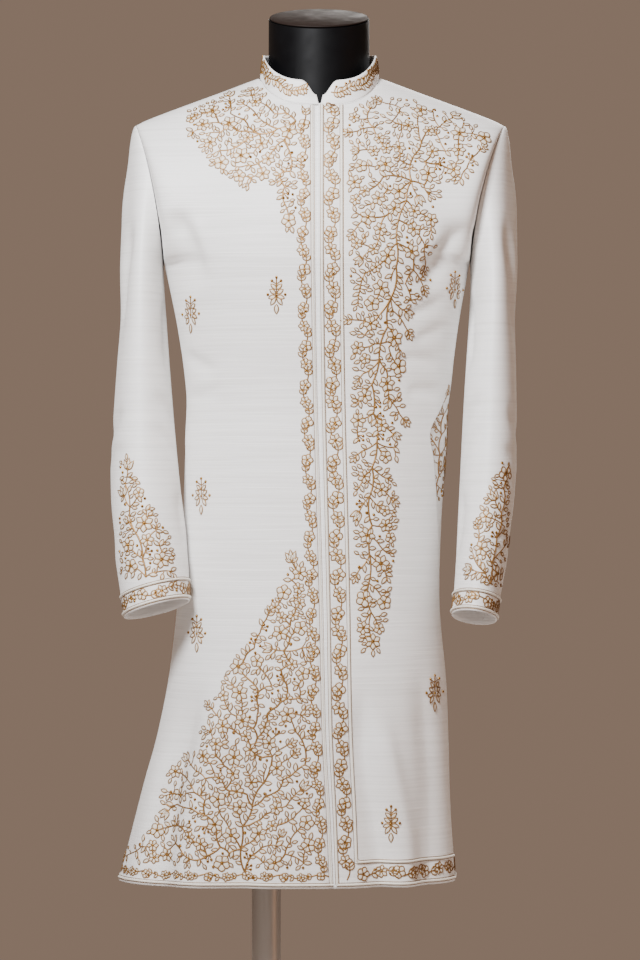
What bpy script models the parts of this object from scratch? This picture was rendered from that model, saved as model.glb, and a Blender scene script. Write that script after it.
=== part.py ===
"""Sherwani coat on a limbless dress form: a knee-length coat with a band collar, cut and sewn panels as
thin walls, hanging empty sleeves, piping cords and the round-based stand that carries the form.
Metres, +Z up, front towards -Y."""

import bmesh
import bpy
from collections import namedtuple
from math import asin, cos, pi, radians, sin, sqrt
from mathutils import Vector

# Cloth and sewing
CLOTH = 0.0018
SEAM_GAP = 0.0008
SHOULDER_GAP = 0.0018
UNDERLAP_DROP = 0.0030
UNDERLAP_WIDTH = 0.036
UNDERLAP_STEP = 0.012
EDGE_CORD = 0.006
VENT_TOP = 1.065
VENT_UNDERLAP = 0.016
CORD_RADIUS = 0.0011
CORD_LIFT = CORD_RADIUS + 0.0006
CORD_SIDES = 0
FRONT_BORDER = 0.0300
HEM_BORDER = 0.0310

# Levels of the coat
HEM = 0.513
CHEST = 1.270
NECK_CURVE_FRONT = 2.9
NECK_CURVE_BACK = 2.0
COLLAR_FRONT = 0.031
COLLAR_BACK = 0.037
COLLAR_SIDE_DROP = 0.0065
COLLAR_LEAN = 0.0050
COLLAR_OPENING = 0.0042
COLLAR_RAISE = 0.0024

# How square each horizontal section is (2 is an ellipse)
SQUARE = 2.3

# Horizontal sections of the body: height, the two sides, and the front and back
Body = namedtuple("Body", "z right_side left_side front back edge")
BODY = (
    Body(0.513, -0.2425, 0.1775, -0.127, 0.140, 0.0238),
    Body(0.600, -0.2190, 0.1715, -0.128, 0.130, 0.0205),
    Body(0.690, -0.1960, 0.1685, -0.129, 0.122, 0.0160),
    Body(0.760, -0.1815, 0.1655, -0.129, 0.118, 0.0145),
    Body(0.850, -0.1710, 0.1580, -0.124, 0.114, 0.0132),
    Body(0.950, -0.1650, 0.1600, -0.118, 0.104, 0.0110),
    Body(1.050, -0.1615, 0.1665, -0.113, 0.092, 0.0085),
    Body(1.110, -0.1580, 0.1685, -0.112, 0.087, 0.0072),
    Body(1.190, -0.1680, 0.1775, -0.120, 0.096, 0.0060),
    Body(1.270, -0.1845, 0.1915, -0.128, 0.106, 0.0052),
)

# Depth of the side seams, and below the vent top of the front panels' free edges
Side = namedtuple("Side", "z right left")
SIDES = (
    Side(0.513, -0.030, -0.034),
    Side(0.760, -0.030, -0.034),
    Side(0.906, -0.034, -0.038),
    Side(0.980, -0.040, -0.052),
    Side(1.030, -0.034, -0.062),
    Side(1.065, -0.026, -0.068),
    Side(1.100, -0.018, -0.045),
    Side(1.140, -0.010, -0.018),
    Side(1.270, 0.000, 0.000),
)

# Shoulder line: height over the distance from the middle of the neck
Shoulder = namedtuple("Shoulder", "reach z")
SHOULDER = (
    Shoulder(0.000, 1.5150),
    Shoulder(0.050, 1.5090),
    Shoulder(0.080, 1.4990),
    Shoulder(0.120, 1.4840),
    Shoulder(0.180, 1.4620),
    Shoulder(0.215, 1.4485),
    Shoulder(0.230, 1.4410),
)
NECK_X = 0.0070
NECK_HALF_WIDTH = 0.0740
NECK_FRONT = 0.0800
NECK_BACK = 0.0700
RIGHT_TIP = -0.2194
LEFT_TIP = 0.2345
ARMHOLE_FLARE = 1.6
SCYE_FRONT = 0.060
SCYE_BACK = 0.064
SCYE_ROUND = 0.6

# How square the chest turns over the shoulder (2 is a quarter ellipse)
SHOULDER_BEND_FRONT = 2.0
SHOULDER_BEND_BACK = 3.0

# Sleeve rings: height, outer and inner side, depth of the middle, half depth, and how far the ring tilts
Ring = namedtuple("Ring", "z outer inner middle depth slope_x slope_y")
SLEEVE_RIGHT = (
    Ring(1.215, -0.2375, -0.1835, -0.004, 0.080, 0.00, 0.00),
    Ring(1.100, -0.2450, -0.1740, -0.027, 0.068, 0.00, -0.04),
    Ring(1.000, -0.2492, -0.1640, -0.052, 0.058, 0.04, -0.10),
    Ring(0.930, -0.2435, -0.1550, -0.070, 0.051, 0.12, -0.14),
    Ring(0.875, -0.2345, -0.1515, -0.084, 0.046, 0.22, -0.17),
    Ring(0.848, -0.2300, -0.1505, -0.090, 0.0445, 0.26, -0.18),
)
SLEEVE_LEFT = (
    Ring(1.215, 0.2475, 0.1925, -0.002, 0.080, 0.00, 0.00),
    Ring(1.100, 0.2490, 0.1845, -0.024, 0.069, 0.00, -0.04),
    Ring(1.000, 0.2475, 0.1785, -0.048, 0.061, -0.03, -0.10),
    Ring(0.930, 0.2390, 0.1745, -0.066, 0.056, -0.08, -0.14),
    Ring(0.875, 0.2280, 0.1710, -0.080, 0.052, -0.13, -0.18),
    Ring(0.838, 0.2215, 0.1670, -0.090, 0.050, -0.15, -0.20),
)
CUFF_BAND = 0.024
SCYE_CLEAR = 0.0016
CUFF_EDGE = 0.0030
CORD_END = 0.0050

# Columns of the larger grids
BACK_COLUMNS = 25
SLEEVE_COLUMNS = 22

# Dress form and stand
FORM_CLEAR = 0.0105
FORM_BOTTOM = 0.7535
FORM_TOP_SHARE = 0.965
NECK_RADIUS = 0.0630
NECK_TOP = 1.5740
NECK_ROOT = 1.3900
NECK_TILT = radians(17.0)
CAP_RADIUS = 0.0612
CAP_THICK = 0.0024
POLE_X = -0.0590
POLE_RADIUS = 0.0180
FLANGE_RADIUS = 0.0360
FLANGE_HEIGHT = 0.0300
BASE_RADIUS = 0.1750
BASE_RIM = 0.0080
BASE_BOSS_RADIUS = 0.0300
BASE_HEIGHT = 0.0340
STAND_GAP = 0.0003

RIGHT = -1
LEFT = 1


def clear_scene():
    for thing in list(bpy.data.objects):
        bpy.data.objects.remove(thing, do_unlink=True)


def collection_named(name):
    group = bpy.data.collections.new(name)
    bpy.context.scene.collection.children.link(group)
    return group


def material(name, colour, roughness, metallic=0.0):
    made = bpy.data.materials.new(name)
    made.use_nodes = True
    shader = made.node_tree.nodes["Principled BSDF"]
    shader.inputs["Base Color"].default_value = (*colour, 1.0)
    shader.inputs["Roughness"].default_value = roughness
    shader.inputs["Metallic"].default_value = metallic
    return made


def read_table(table, place):
    """The row at this place, on a smooth curve through the table's rows; its first column is the place."""
    place = min(max(place, table[0][0]), table[-1][0])
    k = 0
    while k < len(table) - 2 and table[k + 1][0] < place:
        k += 1
    before, low, high = table[max(k - 1, 0)], table[k], table[k + 1]
    after = table[min(k + 2, len(table) - 1)]
    step = high[0] - low[0]
    t = (place - low[0]) / step
    row = [place]
    for b, p, q, a in zip(before[1:], low[1:], high[1:], after[1:]):
        start = (q - b) / (high[0] - before[0]) * step
        end = (a - p) / (after[0] - low[0]) * step
        row.append(
            p * (2 * t**3 - 3 * t**2 + 1) + start * (t**3 - 2 * t**2 + t)
            + q * (3 * t**2 - 2 * t**3) + end * (t**3 - t**2)
        )
    return type(low)(*row)


def ramp(value, start, end):
    """0 at start, 1 at end, smooth between."""
    t = min(max((value - start) / (end - start), 0.0), 1.0)
    return t * t * (3 - 2 * t)


def spread(start, end, count):
    return [start + (end - start) * k / (count - 1) for k in range(count)]


def signed_power(value, power):
    return abs(value) ** power * (1 if value >= 0 else -1)


# --- the body's surface -------------------------------------------------------------------------


def body_point(across, height, face, inset=0.0):
    """A point of the body.  across is -1 at the right side, 0 in front or behind, 1 at the left side;
    height is 0..1
    from hem to chest and 1..2 from chest to shoulder line; face is -1 for the front and 1 for the back."""
    z = HEM + (CHEST - HEM) * min(height, 1.0)
    row = read_table(BODY, z)
    middle = (row.right_side + row.left_side) / 2
    half_width = (row.left_side - row.right_side) / 2 - inset
    depth = (row.back if face > 0 else -row.front) - inset
    round_off = max(1.0 - abs(across) ** SQUARE, 0.0) ** (1 / SQUARE)
    x = middle + half_width * across
    y = face * depth * round_off
    if height <= 1.0:
        return Vector((x, y, z))
    t = height - 1.0
    tip = (LEFT_TIP if across > 0 else -RIGHT_TIP) - inset
    side = abs(row.left_side if across > 0 else row.right_side) - inset
    x += (tip - side) * t**ARMHOLE_FLARE * signed_power(across, 3)
    top = read_table(SHOULDER, abs(x - NECK_X)).z - inset
    bend = SHOULDER_BEND_BACK if face > 0 else SHOULDER_BEND_FRONT
    fall = max(1.0 - t**bend, 0.0) ** (1 / bend)
    scye = (SCYE_BACK if face > 0 else SCYE_FRONT) - inset
    y = y * fall + face * scye * sin(pi * t**0.8) ** SCYE_ROUND * across**6
    return Vector((x, y, CHEST + (top - CHEST) * t))


def neck_line_y(x, face):
    """Depth of the neckline at this x, or 0 outside the neck."""
    share = abs(x - NECK_X) / NECK_HALF_WIDTH
    if share >= 1.0:
        return 0.0
    power = NECK_CURVE_BACK if face > 0 else NECK_CURVE_FRONT
    return face * (NECK_BACK if face > 0 else NECK_FRONT) * (1.0 - share**power) ** (1 / power)


def top_height(across, face):
    """The height at which a column ends: 2 on the shoulder seam, less on the neckline."""
    low, high = 1.0, 2.0
    for _ in range(40):
        mid = (low + high) / 2
        p = body_point(across, mid, face)
        if face * p.y > face * neck_line_y(p.x, face):
            low = mid
        else:
            high = mid
    return low


def across_at(x, z):
    """The across value that gives this x on the section at this height."""
    row = read_table(BODY, z)
    middle = (row.right_side + row.left_side) / 2
    return (x - middle) / ((row.left_side - row.right_side) / 2)


def across_at_side(z, side, face, y=None):
    """The across value of a side seam, where the section has the seam's depth."""
    row = read_table(BODY, z)
    seam = read_table(SIDES, z)
    y = (seam.left if side > 0 else seam.right) if y is None else y
    depth = row.back if y > 0 else -row.front
    return side * (1.0 - (abs(y) / depth) ** SQUARE) ** (1 / SQUARE)


# --- cloth panels -------------------------------------------------------------------------------


def rows_up(count_low, count_high):
    """Heights from hem to chest, then from chest to the top edge, closer together near the shoulder."""
    border = height_at(HEM + HEM_BORDER)
    low = [0.0] + spread(border, 1.0, count_low - 1)
    high = [1.0 + sin(pi / 2 * k / (count_high - 1)) for k in range(1, count_high)]
    return low + high


def grid_faces(columns, rows, closed=False):
    faces = []
    last = columns if closed else columns - 1
    for r in range(rows - 1):
        for c in range(last):
            d = (c + 1) % columns
            faces.append((r * columns + c, r * columns + d, (r + 1) * columns + d, (r + 1) * columns + c))
    return faces


def mesh_object(name, points, faces, group, look):
    mesh = bpy.data.meshes.new(name)
    mesh.from_pydata([tuple(p) for p in points], [], faces)
    mesh.materials.append(look)
    mesh.shade_smooth()
    thing = bpy.data.objects.new(name, mesh)
    group.objects.link(thing)
    return thing


def cloth_object(name, rows, closed, flip, group, look):
    """A cloth wall from rows of points, its thickness on the inner side."""
    columns = len(rows[0])
    faces = grid_faces(columns, len(rows), closed)
    if flip:
        faces = [face[::-1] for face in faces]
    thing = mesh_object(name, [p for row in rows for p in row], faces, group, look)
    wall = thing.modifiers.new("wall", "SOLIDIFY")
    wall.thickness = CLOTH
    wall.offset = -1.0
    return thing


def front_zone(side):
    """Width of the strip beside a front edge whose columns keep their distance from the edge."""
    return FRONT_BORDER if side > 0 else UNDERLAP_STEP


def front_across(side, u, height):
    """The across value of a front panel's column: u below 0 is metres from the strip's inner side
    towards the edge and past it, and 0..1 runs from there to the side seam."""
    z = HEM + (CHEST - HEM) * min(height, 1.0)
    zone = across_at(read_table(BODY, z).edge + side * (front_zone(side) + min(u, 0.0)), z)
    if u <= 0.0:
        return zone
    seam = read_table(SIDES, z)
    end = across_at_side(z, side, -1, (seam.left if side > 0 else seam.right) if height < 1.0 else 0.0)
    start_angle = asin(signed_power(zone, SQUARE / 2))
    end_angle = asin(max(min(signed_power(end, SQUARE / 2), 1.0), -1.0))
    return signed_power(sin(start_angle + (end_angle - start_angle) * u), 2 / SQUARE)


def front_point(side, u, height):
    """The outer surface of a front panel; the right front dips under the left one at its edge."""
    across = front_across(side, u, height)
    level = height
    if height > 1.0:
        level = 1.0 + (height - 1.0) * (top_height(across, -1) - 1.0)
    p = body_point(across, level, -1)
    if side < 0:
        past_edge = p.x - read_table(BODY, min(p.z, CHEST)).edge
        drop = UNDERLAP_DROP * ramp(past_edge, -UNDERLAP_STEP, -0.0015)
        p += Vector((0.0, drop, -2.0 * drop * max(height - 1.0, 0.0) ** 2))
    if u >= 1.0 and height <= 1.0:
        p.y -= SEAM_GAP / 2
    if height >= 2.0:
        p.y -= SHOULDER_GAP / 2
    return p


def front_columns(side):
    """Where the columns of a front panel stand."""
    if side > 0:
        strip = [SEAM_GAP / 2, EDGE_CORD, (EDGE_CORD + FRONT_BORDER) / 2]
    else:
        strip = [-UNDERLAP_WIDTH, -UNDERLAP_WIDTH / 2, 0.0, 0.0045, 0.0085]
    return [distance - front_zone(side) for distance in strip] + spread(0.0, 1.0, 12)


def front_panel(side, name, group, look):
    columns = front_columns(side)
    rows = [[front_point(side, u, h) for u in columns] for h in rows_up(15, 9)]
    return cloth_object(name, rows, False, side < 0, group, look)


def back_point(u, height):
    """The outer surface of the back panel; u is 0 at the right side seam and 1 at the left one."""
    z = HEM + (CHEST - HEM) * min(height, 1.0)
    ends = []
    under = ramp(VENT_TOP - z, 0.0, 0.060) * VENT_UNDERLAP
    for side in (RIGHT, LEFT):
        seam = read_table(SIDES, z)
        y = (seam.left if side > 0 else seam.right) - under
        share = abs(y) / (-read_table(BODY, z).front)
        ends.append(side * (pi / 2 + asin(share ** (SQUARE / 2))) if height < 1.0 else side * pi / 2)
    turn = ends[0] + (ends[1] - ends[0]) * u
    across = signed_power(sin(turn), 2 / SQUARE)
    face = 1 if abs(turn) <= pi / 2 else -1
    if height > 1.0:
        height = 1.0 + (height - 1.0) * (top_height(across, face) - 1.0)
    dip = ramp(z, VENT_TOP + 0.065, VENT_TOP + 0.010) * ramp(abs(turn), radians(62), radians(80))
    p = body_point(across, height, face)
    if height <= 1.0:
        centre = Vector(((read_table(BODY, z).right_side + read_table(BODY, z).left_side) / 2, 0.0, z))
        p -= (p - centre).normalized() * UNDERLAP_DROP * dip
    if u in (0.0, 1.0) and height <= 1.0:
        p.y += SEAM_GAP / 2
    return p


def back_panel(name, group, look):
    rows = []
    for h in rows_up(15, 9):
        row = [back_point(u, h) for u in spread(0.0, 1.0, BACK_COLUMNS)]
        if h >= 2.0:
            row = [p + Vector((0.0, SHOULDER_GAP / 2, 0.0)) for p in row]
        rows.append(row)
    return cloth_object(name, rows, False, True, group, look)


# --- sleeves ------------------------------------------------------------------------------------


def armhole_point(side, turn):
    """The armhole's seam: turn is 0 at the shoulder tip, pi / 2 in front, pi under the arm."""
    face = -1 if turn <= pi else 1
    share = 1.0 - abs((turn if turn <= pi else 2 * pi - turn)) / pi
    height = 1.0 + share ** 0.9
    return body_point(side, min(height, 2.0), face)


def sleeve_ring_point(rings, side, z, turn):
    row = read_table(rings[::-1], z)
    middle = (row.outer + row.inner) / 2
    half = abs(row.outer - row.inner) / 2
    x = side * half * cos(turn)
    y = -row.depth * sin(turn)
    return Vector((middle + x, row.middle + y, z + row.slope_x * x + row.slope_y * y))


def hermite(p, q, leave, arrive, t):
    return (
        p * (2 * t**3 - 3 * t**2 + 1) + leave * (t**3 - 2 * t**2 + t)
        + q * (3 * t**2 - 2 * t**3) + arrive * (t**3 - t**2)
    )


def sleeve_point(side, rings, turn, down):
    """down is 0..1 over the sleeve head and 1..2 from the head's foot to the cuff."""
    if down >= 1.0:
        z = rings[0].z + (rings[-1].z - rings[0].z) * (down - 1.0)
        return sleeve_ring_point(rings, side, z, turn)
    start = armhole_point(side, turn)
    out = (1.0 + cos(turn)) / 2
    leave = Vector((side * (0.25 + 0.75 * out), 0.0, -(1.0 - out))).normalized()
    start = start + Vector((side * (SEAM_GAP + SCYE_CLEAR * (1.0 - out)), 0.0, 0.0))
    end = sleeve_ring_point(rings, side, rings[0].z, turn)
    length = (end - start).length
    below = sleeve_ring_point(rings, side, rings[0].z - 0.01, turn) - end
    return hermite(start, end, leave * (0.018 + 0.10 * length), below.normalized() * length, down)


def sleeve_columns():
    return [2 * pi * k / SLEEVE_COLUMNS for k in range(SLEEVE_COLUMNS)]


def down_at(rings, above):
    """The place along a sleeve that is this far above the cuff's edge."""
    return 2.0 - above / (rings[0].z - rings[-1].z)


def sleeve(side, rings, name, group, look):
    heads = [0.0, 0.10, 0.22, 0.38, 0.56, 0.78]
    downs = heads + spread(1.0, down_at(rings, CUFF_BAND), 7) + [down_at(rings, CUFF_EDGE), 2.0]
    rows = [[sleeve_point(side, rings, turn, down) for turn in sleeve_columns()] for down in downs]
    return cloth_object(name, rows, True, side < 0, group, look)


# --- collar -------------------------------------------------------------------------------------


def neckline_point(turn):
    """The neckline: turn is 0 in front, pi behind; positive goes to the left."""
    face = -1 if abs(turn) <= pi / 2 else 1
    x = NECK_X + NECK_HALF_WIDTH * 0.9995 * sin(turn)
    across = across_at(x, CHEST)
    for _ in range(6):
        height = top_height(across, face)
        p = body_point(across, height, face)
        across += (x - p.x) / ((read_table(BODY, CHEST).left_side - read_table(BODY, CHEST).right_side) / 2)
    return Vector((x, neck_line_y(x, face), p.z))


def collar_point(turn, up):
    """up is 0 at the neckline and 1 at the collar's top edge."""
    base = neckline_point(turn)
    back = (1.0 - cos(turn)) / 2
    height = COLLAR_FRONT + (COLLAR_BACK - COLLAR_FRONT) * back - COLLAR_SIDE_DROP * sin(turn) ** 2
    opening = asin(COLLAR_OPENING / NECK_HALF_WIDTH)
    corner = 1.0 - ramp(abs(turn), opening, opening + 0.34)
    height *= 1.0 - 0.62 * corner**2
    middle = Vector((NECK_X, 0.0, base.z))
    inward = (middle - base).normalized()
    lean = COLLAR_LEAN * (1.0 - 0.4 * back)
    rise = COLLAR_RAISE * (1.0 + 0.6 * back) + height * up
    return base + inward * (lean * up + 0.0006) + Vector((0.0, 0.0, rise))


def collar_turns():
    opening = asin(COLLAR_OPENING / NECK_HALF_WIDTH)
    near = [opening + 0.34 * k / 5 for k in range(5)]
    return near + spread(opening + 0.34, 2 * pi - opening - 0.34, 26) + [2 * pi - t for t in near[::-1]]


def collar(name, group, look):
    rows = []
    for up in (0.0, 0.33, 0.67, 1.0):
        rows.append([collar_point(t if t <= pi else t - 2 * pi, up) for t in collar_turns()])
    return cloth_object(name, rows, False, False, group, look)


# --- piping -------------------------------------------------------------------------------------


def cord_object(name, points, group, look, closed=False, radius=CORD_RADIUS):
    data = bpy.data.curves.new(name, "CURVE")
    data.dimensions = "3D"
    data.bevel_depth = radius
    data.bevel_resolution = CORD_SIDES
    data.use_fill_caps = True
    line = data.splines.new("POLY")
    line.points.add(len(points) - 1)
    for knot, p in zip(line.points, points):
        knot.co = (*p, 1.0)
    line.use_cyclic_u = closed
    data.materials.append(look)
    thing = bpy.data.objects.new(name, data)
    group.objects.link(thing)
    return thing


def lifted(surface, a, b, lift):
    """The point of a surface at (a, b), moved out along its normal."""
    step = 0.004
    p = surface(a, b)
    along = surface(a + step, b) - surface(a - step, b)
    up = surface(a, b + step) - surface(a, b - step)
    normal = along.cross(up).normalized()
    return p + normal * lift


def left_front_surface(u, height):
    return front_point(LEFT, min(u, 0.999), min(max(height, 0.0), 1.999))


def right_front_surface(u, height):
    return front_point(RIGHT, min(-u, 0.999), min(max(height, 0.0), 1.999))


def height_at(z):
    return (z - HEM) / (CHEST - HEM)


def cord_heights():
    """Heights of a cord that runs up a front: the panel's own rows, short of both ends."""
    rows = rows_up(15, 9)
    return [height_at(HEM + CORD_END)] + rows[1:-1]


def front_edge_cord(name, group, look):
    """The cord along the left front's edge, from the hem to the neckline."""
    points = [lifted(left_front_surface, EDGE_CORD - FRONT_BORDER, h, CORD_LIFT) for h in cord_heights()]
    return cord_object(name, points, group, look)


def border_cord(name, group, look):
    """The inner cord of the left front's border: down the front, round the mitre and along above the hem."""
    points = [lifted(left_front_surface, 0.0, h, CORD_LIFT) for h in cord_heights()[:0:-1]]
    corner = height_at(HEM + HEM_BORDER)
    for u in spread(0.0, 1.0, 12)[1:-1] + [0.985]:
        points.append(lifted(left_front_surface, u, corner, CORD_LIFT))
    return cord_object(name, points, group, look)


def hem_cord(side, name, group, look):
    low = height_at(HEM + CORD_END)
    columns = [u for u in front_columns(side) if u >= (EDGE_CORD - FRONT_BORDER if side > 0 else -0.0036)]
    columns = columns[1:-1] + [0.985]
    if side > 0:
        points = [lifted(left_front_surface, u, low, CORD_LIFT) for u in columns]
    else:
        points = [lifted(right_front_surface, -u, low, CORD_LIFT) for u in columns]
    return cord_object(name, points, group, look)


def back_hem_cord(name, group, look):
    low = height_at(HEM + CORD_END)
    points = [lifted(back_point, u, low, -CORD_LIFT) for u in spread(0.0, 1.0, BACK_COLUMNS)[2:-2]]
    return cord_object(name, points, group, look)


def cuff_cord(side, rings, above, name, group, look):
    """A ring of cord round a sleeve, this far above the cuff's edge."""
    down = down_at(rings, above)
    points = []
    for turn in sleeve_columns():
        p = sleeve_point(side, rings, turn, down)
        ahead = sleeve_point(side, rings, turn + 0.02, down) - sleeve_point(side, rings, turn - 0.02, down)
        along = sleeve_point(side, rings, turn, down + 0.01) - sleeve_point(side, rings, turn, down - 0.01)
        points.append(p + ahead.cross(along).normalized() * side * CORD_LIFT)
    return cord_object(name, points, group, look, closed=True)


# --- the form and its stand ---------------------------------------------------------------------


def form_ring(height, count=14):
    """A ring of the torso form, inside the cloth: across the front, then back behind."""
    points = []
    angles = spread(-pi / 2, pi / 2, count)
    for face in (-1, 1):
        for angle in angles if face < 0 else angles[::-1]:
            across = signed_power(sin(angle), 2 / SQUARE) * 0.985
            points.append(body_point(across, height, face, FORM_CLEAR))
    return points


def form_torso(name, group, look):
    """The torso with its neck, one closed body."""
    bottom = height_at(FORM_BOTTOM)
    heights = spread(bottom, 1.0, 9) + [1.0 + FORM_TOP_SHARE * sin(pi / 2 * k / 7) for k in range(1, 8)]
    rings = [form_ring(h) for h in heights]
    columns = len(rings[0])
    faces = grid_faces(columns, len(rings), closed=True)
    faces.append(tuple(range(columns))[::-1])
    last = (len(rings) - 1) * columns
    half = columns // 2
    for k in range(half - 1):
        faces.append((last + k, last + k + 1, last + columns - 2 - k, last + columns - 1 - k))
    torso = mesh_object(name, [p for ring in rings for p in ring], faces, group, look)
    neck = neck_solid(look)
    join = torso.modifiers.new("neck", "BOOLEAN")
    join.operation = "UNION"
    join.object = neck
    return torso


def neck_solid(look):
    """The neck's cylinder with its top cut at a slant; it is joined to the torso."""
    bm = bmesh.new()
    bmesh.ops.create_cone(
        bm, cap_ends=True, segments=40, radius1=NECK_RADIUS, radius2=NECK_RADIUS - 0.0008,
        depth=NECK_TOP - NECK_ROOT
    )
    for corner in bm.verts:
        corner.co += Vector((NECK_X - 0.0008, 0.0, (NECK_TOP + NECK_ROOT) / 2))
        if corner.co.z > NECK_TOP - 0.01:
            corner.co.z += corner.co.y * sin(NECK_TILT) / cos(NECK_TILT)
    mesh = bpy.data.meshes.new("neck_cylinder")
    bm.to_mesh(mesh)
    bm.free()
    mesh.materials.append(look)
    neck = bpy.data.objects.new("neck_cylinder", mesh)
    neck.hide_render = True
    neck.display_type = "WIRE"
    CUTTERS.objects.link(neck)
    return neck


def form_cap(name, group, look):
    """The round cap on the neck's slanted top."""
    bm = bmesh.new()
    bmesh.ops.create_cone(
        bm, cap_ends=True, segments=40, radius1=CAP_RADIUS, radius2=CAP_RADIUS, depth=CAP_THICK
    )
    mesh = bpy.data.meshes.new(name)
    bm.to_mesh(mesh)
    bm.free()
    mesh.materials.append(look)
    mesh.shade_smooth()
    mesh.set_sharp_from_angle(angle=radians(40))
    cap = bpy.data.objects.new(name, mesh)
    cap.location = (NECK_X - 0.0008, 0.0, NECK_TOP + CAP_THICK / 2 + STAND_GAP * 2)
    cap.rotation_euler = (NECK_TILT, 0.0, 0.0)
    group.objects.link(cap)
    edge = cap.modifiers.new("edge", "BEVEL")
    edge.width = 0.0012
    edge.segments = 2
    return cap


def turned(name, profile, group, look, steps=40):
    """A solid of revolution about the pole's axis; the profile runs down its outer side."""
    mesh = bpy.data.meshes.new(name)
    mesh.from_pydata([(r, 0.0, z) for r, z in profile], [(k, k + 1) for k in range(len(profile) - 1)], [])
    mesh.materials.append(look)
    thing = bpy.data.objects.new(name, mesh)
    thing.location = (POLE_X, 0.0, 0.0)
    group.objects.link(thing)
    turn = thing.modifiers.new("turn", "SCREW")
    turn.steps = steps
    turn.render_steps = steps
    turn.use_merge_vertices = True
    turn.merge_threshold = 0.00005
    turn.use_smooth_shade = True
    return thing


def base_plate(name, group, look):
    rim = BASE_RADIUS
    profile = (
        (0.0, BASE_HEIGHT),
        (BASE_BOSS_RADIUS - 0.003, BASE_HEIGHT),
        (BASE_BOSS_RADIUS, BASE_HEIGHT - 0.003),
        (BASE_BOSS_RADIUS + 0.002, BASE_RIM + 0.010),
        (BASE_BOSS_RADIUS + 0.012, BASE_RIM + 0.004),
        (rim - 0.030, BASE_RIM),
        (rim - 0.003, BASE_RIM - 0.001),
        (rim, BASE_RIM - 0.004),
        (rim, 0.0015),
        (rim - 0.0015, 0.0),
        (0.0, 0.0),
    )
    return turned(name, profile, group, look, steps=56)


def pole(name, group, look):
    top = FORM_BOTTOM - STAND_GAP - 0.004
    bottom = BASE_HEIGHT + STAND_GAP
    profile = ((0.0, top), (POLE_RADIUS - 0.001, top), (POLE_RADIUS, top - 0.001))
    profile += ((POLE_RADIUS, bottom), (0.0, bottom))
    return turned(name, profile, group, look, steps=32)


def flange(name, group, look):
    """The ring that holds the pole under the form."""
    inner = POLE_RADIUS + STAND_GAP
    top = FORM_BOTTOM - STAND_GAP
    low = top - FLANGE_HEIGHT
    profile = (
        (inner, top),
        (FLANGE_RADIUS, top),
        (FLANGE_RADIUS, top - 0.005),
        (POLE_RADIUS + 0.008, top - 0.008),
        (POLE_RADIUS + 0.007, low + 0.002),
        (POLE_RADIUS + 0.005, low),
        (inner, low),
        (inner, top),
    )
    return turned(name, profile, group, look, steps=32)


def build():
    group = collection_named("sherwani_coat_on_dress_form")
    silk = material("ivory_silk", (0.80, 0.78, 0.76), 0.55)
    piping = material("gold_piping", (0.62, 0.50, 0.32), 0.45)
    black = material("form_black", (0.012, 0.012, 0.014), 0.35)
    brown = material("cap_brown", (0.045, 0.035, 0.030), 0.55)
    steel = material("brushed_steel", (0.42, 0.38, 0.35), 0.35, 1.0)

    front_panel(RIGHT, "front_right", group, silk)
    front_panel(LEFT, "front_left", group, silk)
    back_panel("back", group, silk)
    sleeve(RIGHT, SLEEVE_RIGHT, "sleeve_right", group, silk)
    sleeve(LEFT, SLEEVE_LEFT, "sleeve_left", group, silk)
    collar("collar", group, silk)

    front_edge_cord("edge_piping_left", group, piping)
    border_cord("border_piping_left", group, piping)
    hem_cord(LEFT, "hem_piping_left", group, piping)
    hem_cord(RIGHT, "hem_piping_right", group, piping)
    back_hem_cord("hem_piping_back", group, piping)
    for side, rings, word in ((RIGHT, SLEEVE_RIGHT, "right"), (LEFT, SLEEVE_LEFT, "left")):
        cuff_cord(side, rings, CUFF_BAND, "cuff_piping_top_" + word, group, piping)
        cuff_cord(side, rings, CUFF_EDGE, "cuff_piping_edge_" + word, group, piping)

    form_torso("form_torso", group, black)
    form_cap("form_cap", group, brown)
    flange("pole_flange", group, steel)
    pole("pole", group, steel)
    base_plate("base_plate", group, steel)


clear_scene()
CUTTERS = collection_named("cutters")
CUTTERS.hide_render = True
build()
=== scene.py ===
from functools import lru_cache
from math import asin, atan2, cos, hypot, pi, radians, sin
import random

import bmesh
import bpy
import numpy as np
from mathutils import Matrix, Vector
from mathutils.bvhtree import BVHTree


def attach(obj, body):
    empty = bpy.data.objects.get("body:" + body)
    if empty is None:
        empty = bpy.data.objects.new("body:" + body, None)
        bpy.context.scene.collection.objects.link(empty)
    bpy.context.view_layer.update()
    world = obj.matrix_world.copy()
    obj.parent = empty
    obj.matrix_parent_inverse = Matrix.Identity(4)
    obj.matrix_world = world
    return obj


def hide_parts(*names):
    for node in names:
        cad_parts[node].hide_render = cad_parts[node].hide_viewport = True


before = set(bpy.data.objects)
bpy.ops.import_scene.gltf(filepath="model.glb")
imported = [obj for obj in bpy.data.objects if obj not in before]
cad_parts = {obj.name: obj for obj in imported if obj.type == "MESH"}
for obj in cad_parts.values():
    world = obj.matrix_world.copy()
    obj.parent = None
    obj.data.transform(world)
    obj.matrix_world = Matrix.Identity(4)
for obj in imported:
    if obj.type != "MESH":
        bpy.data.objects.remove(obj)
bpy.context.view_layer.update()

coatGroup = bpy.data.collections.new("sherwaniCoat")
bpy.context.scene.collection.children.link(coatGroup)


def metres(table):
    # a table written in millimetres
    return tuple(tuple(value / 1000 for value in row) for row in table)


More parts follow.
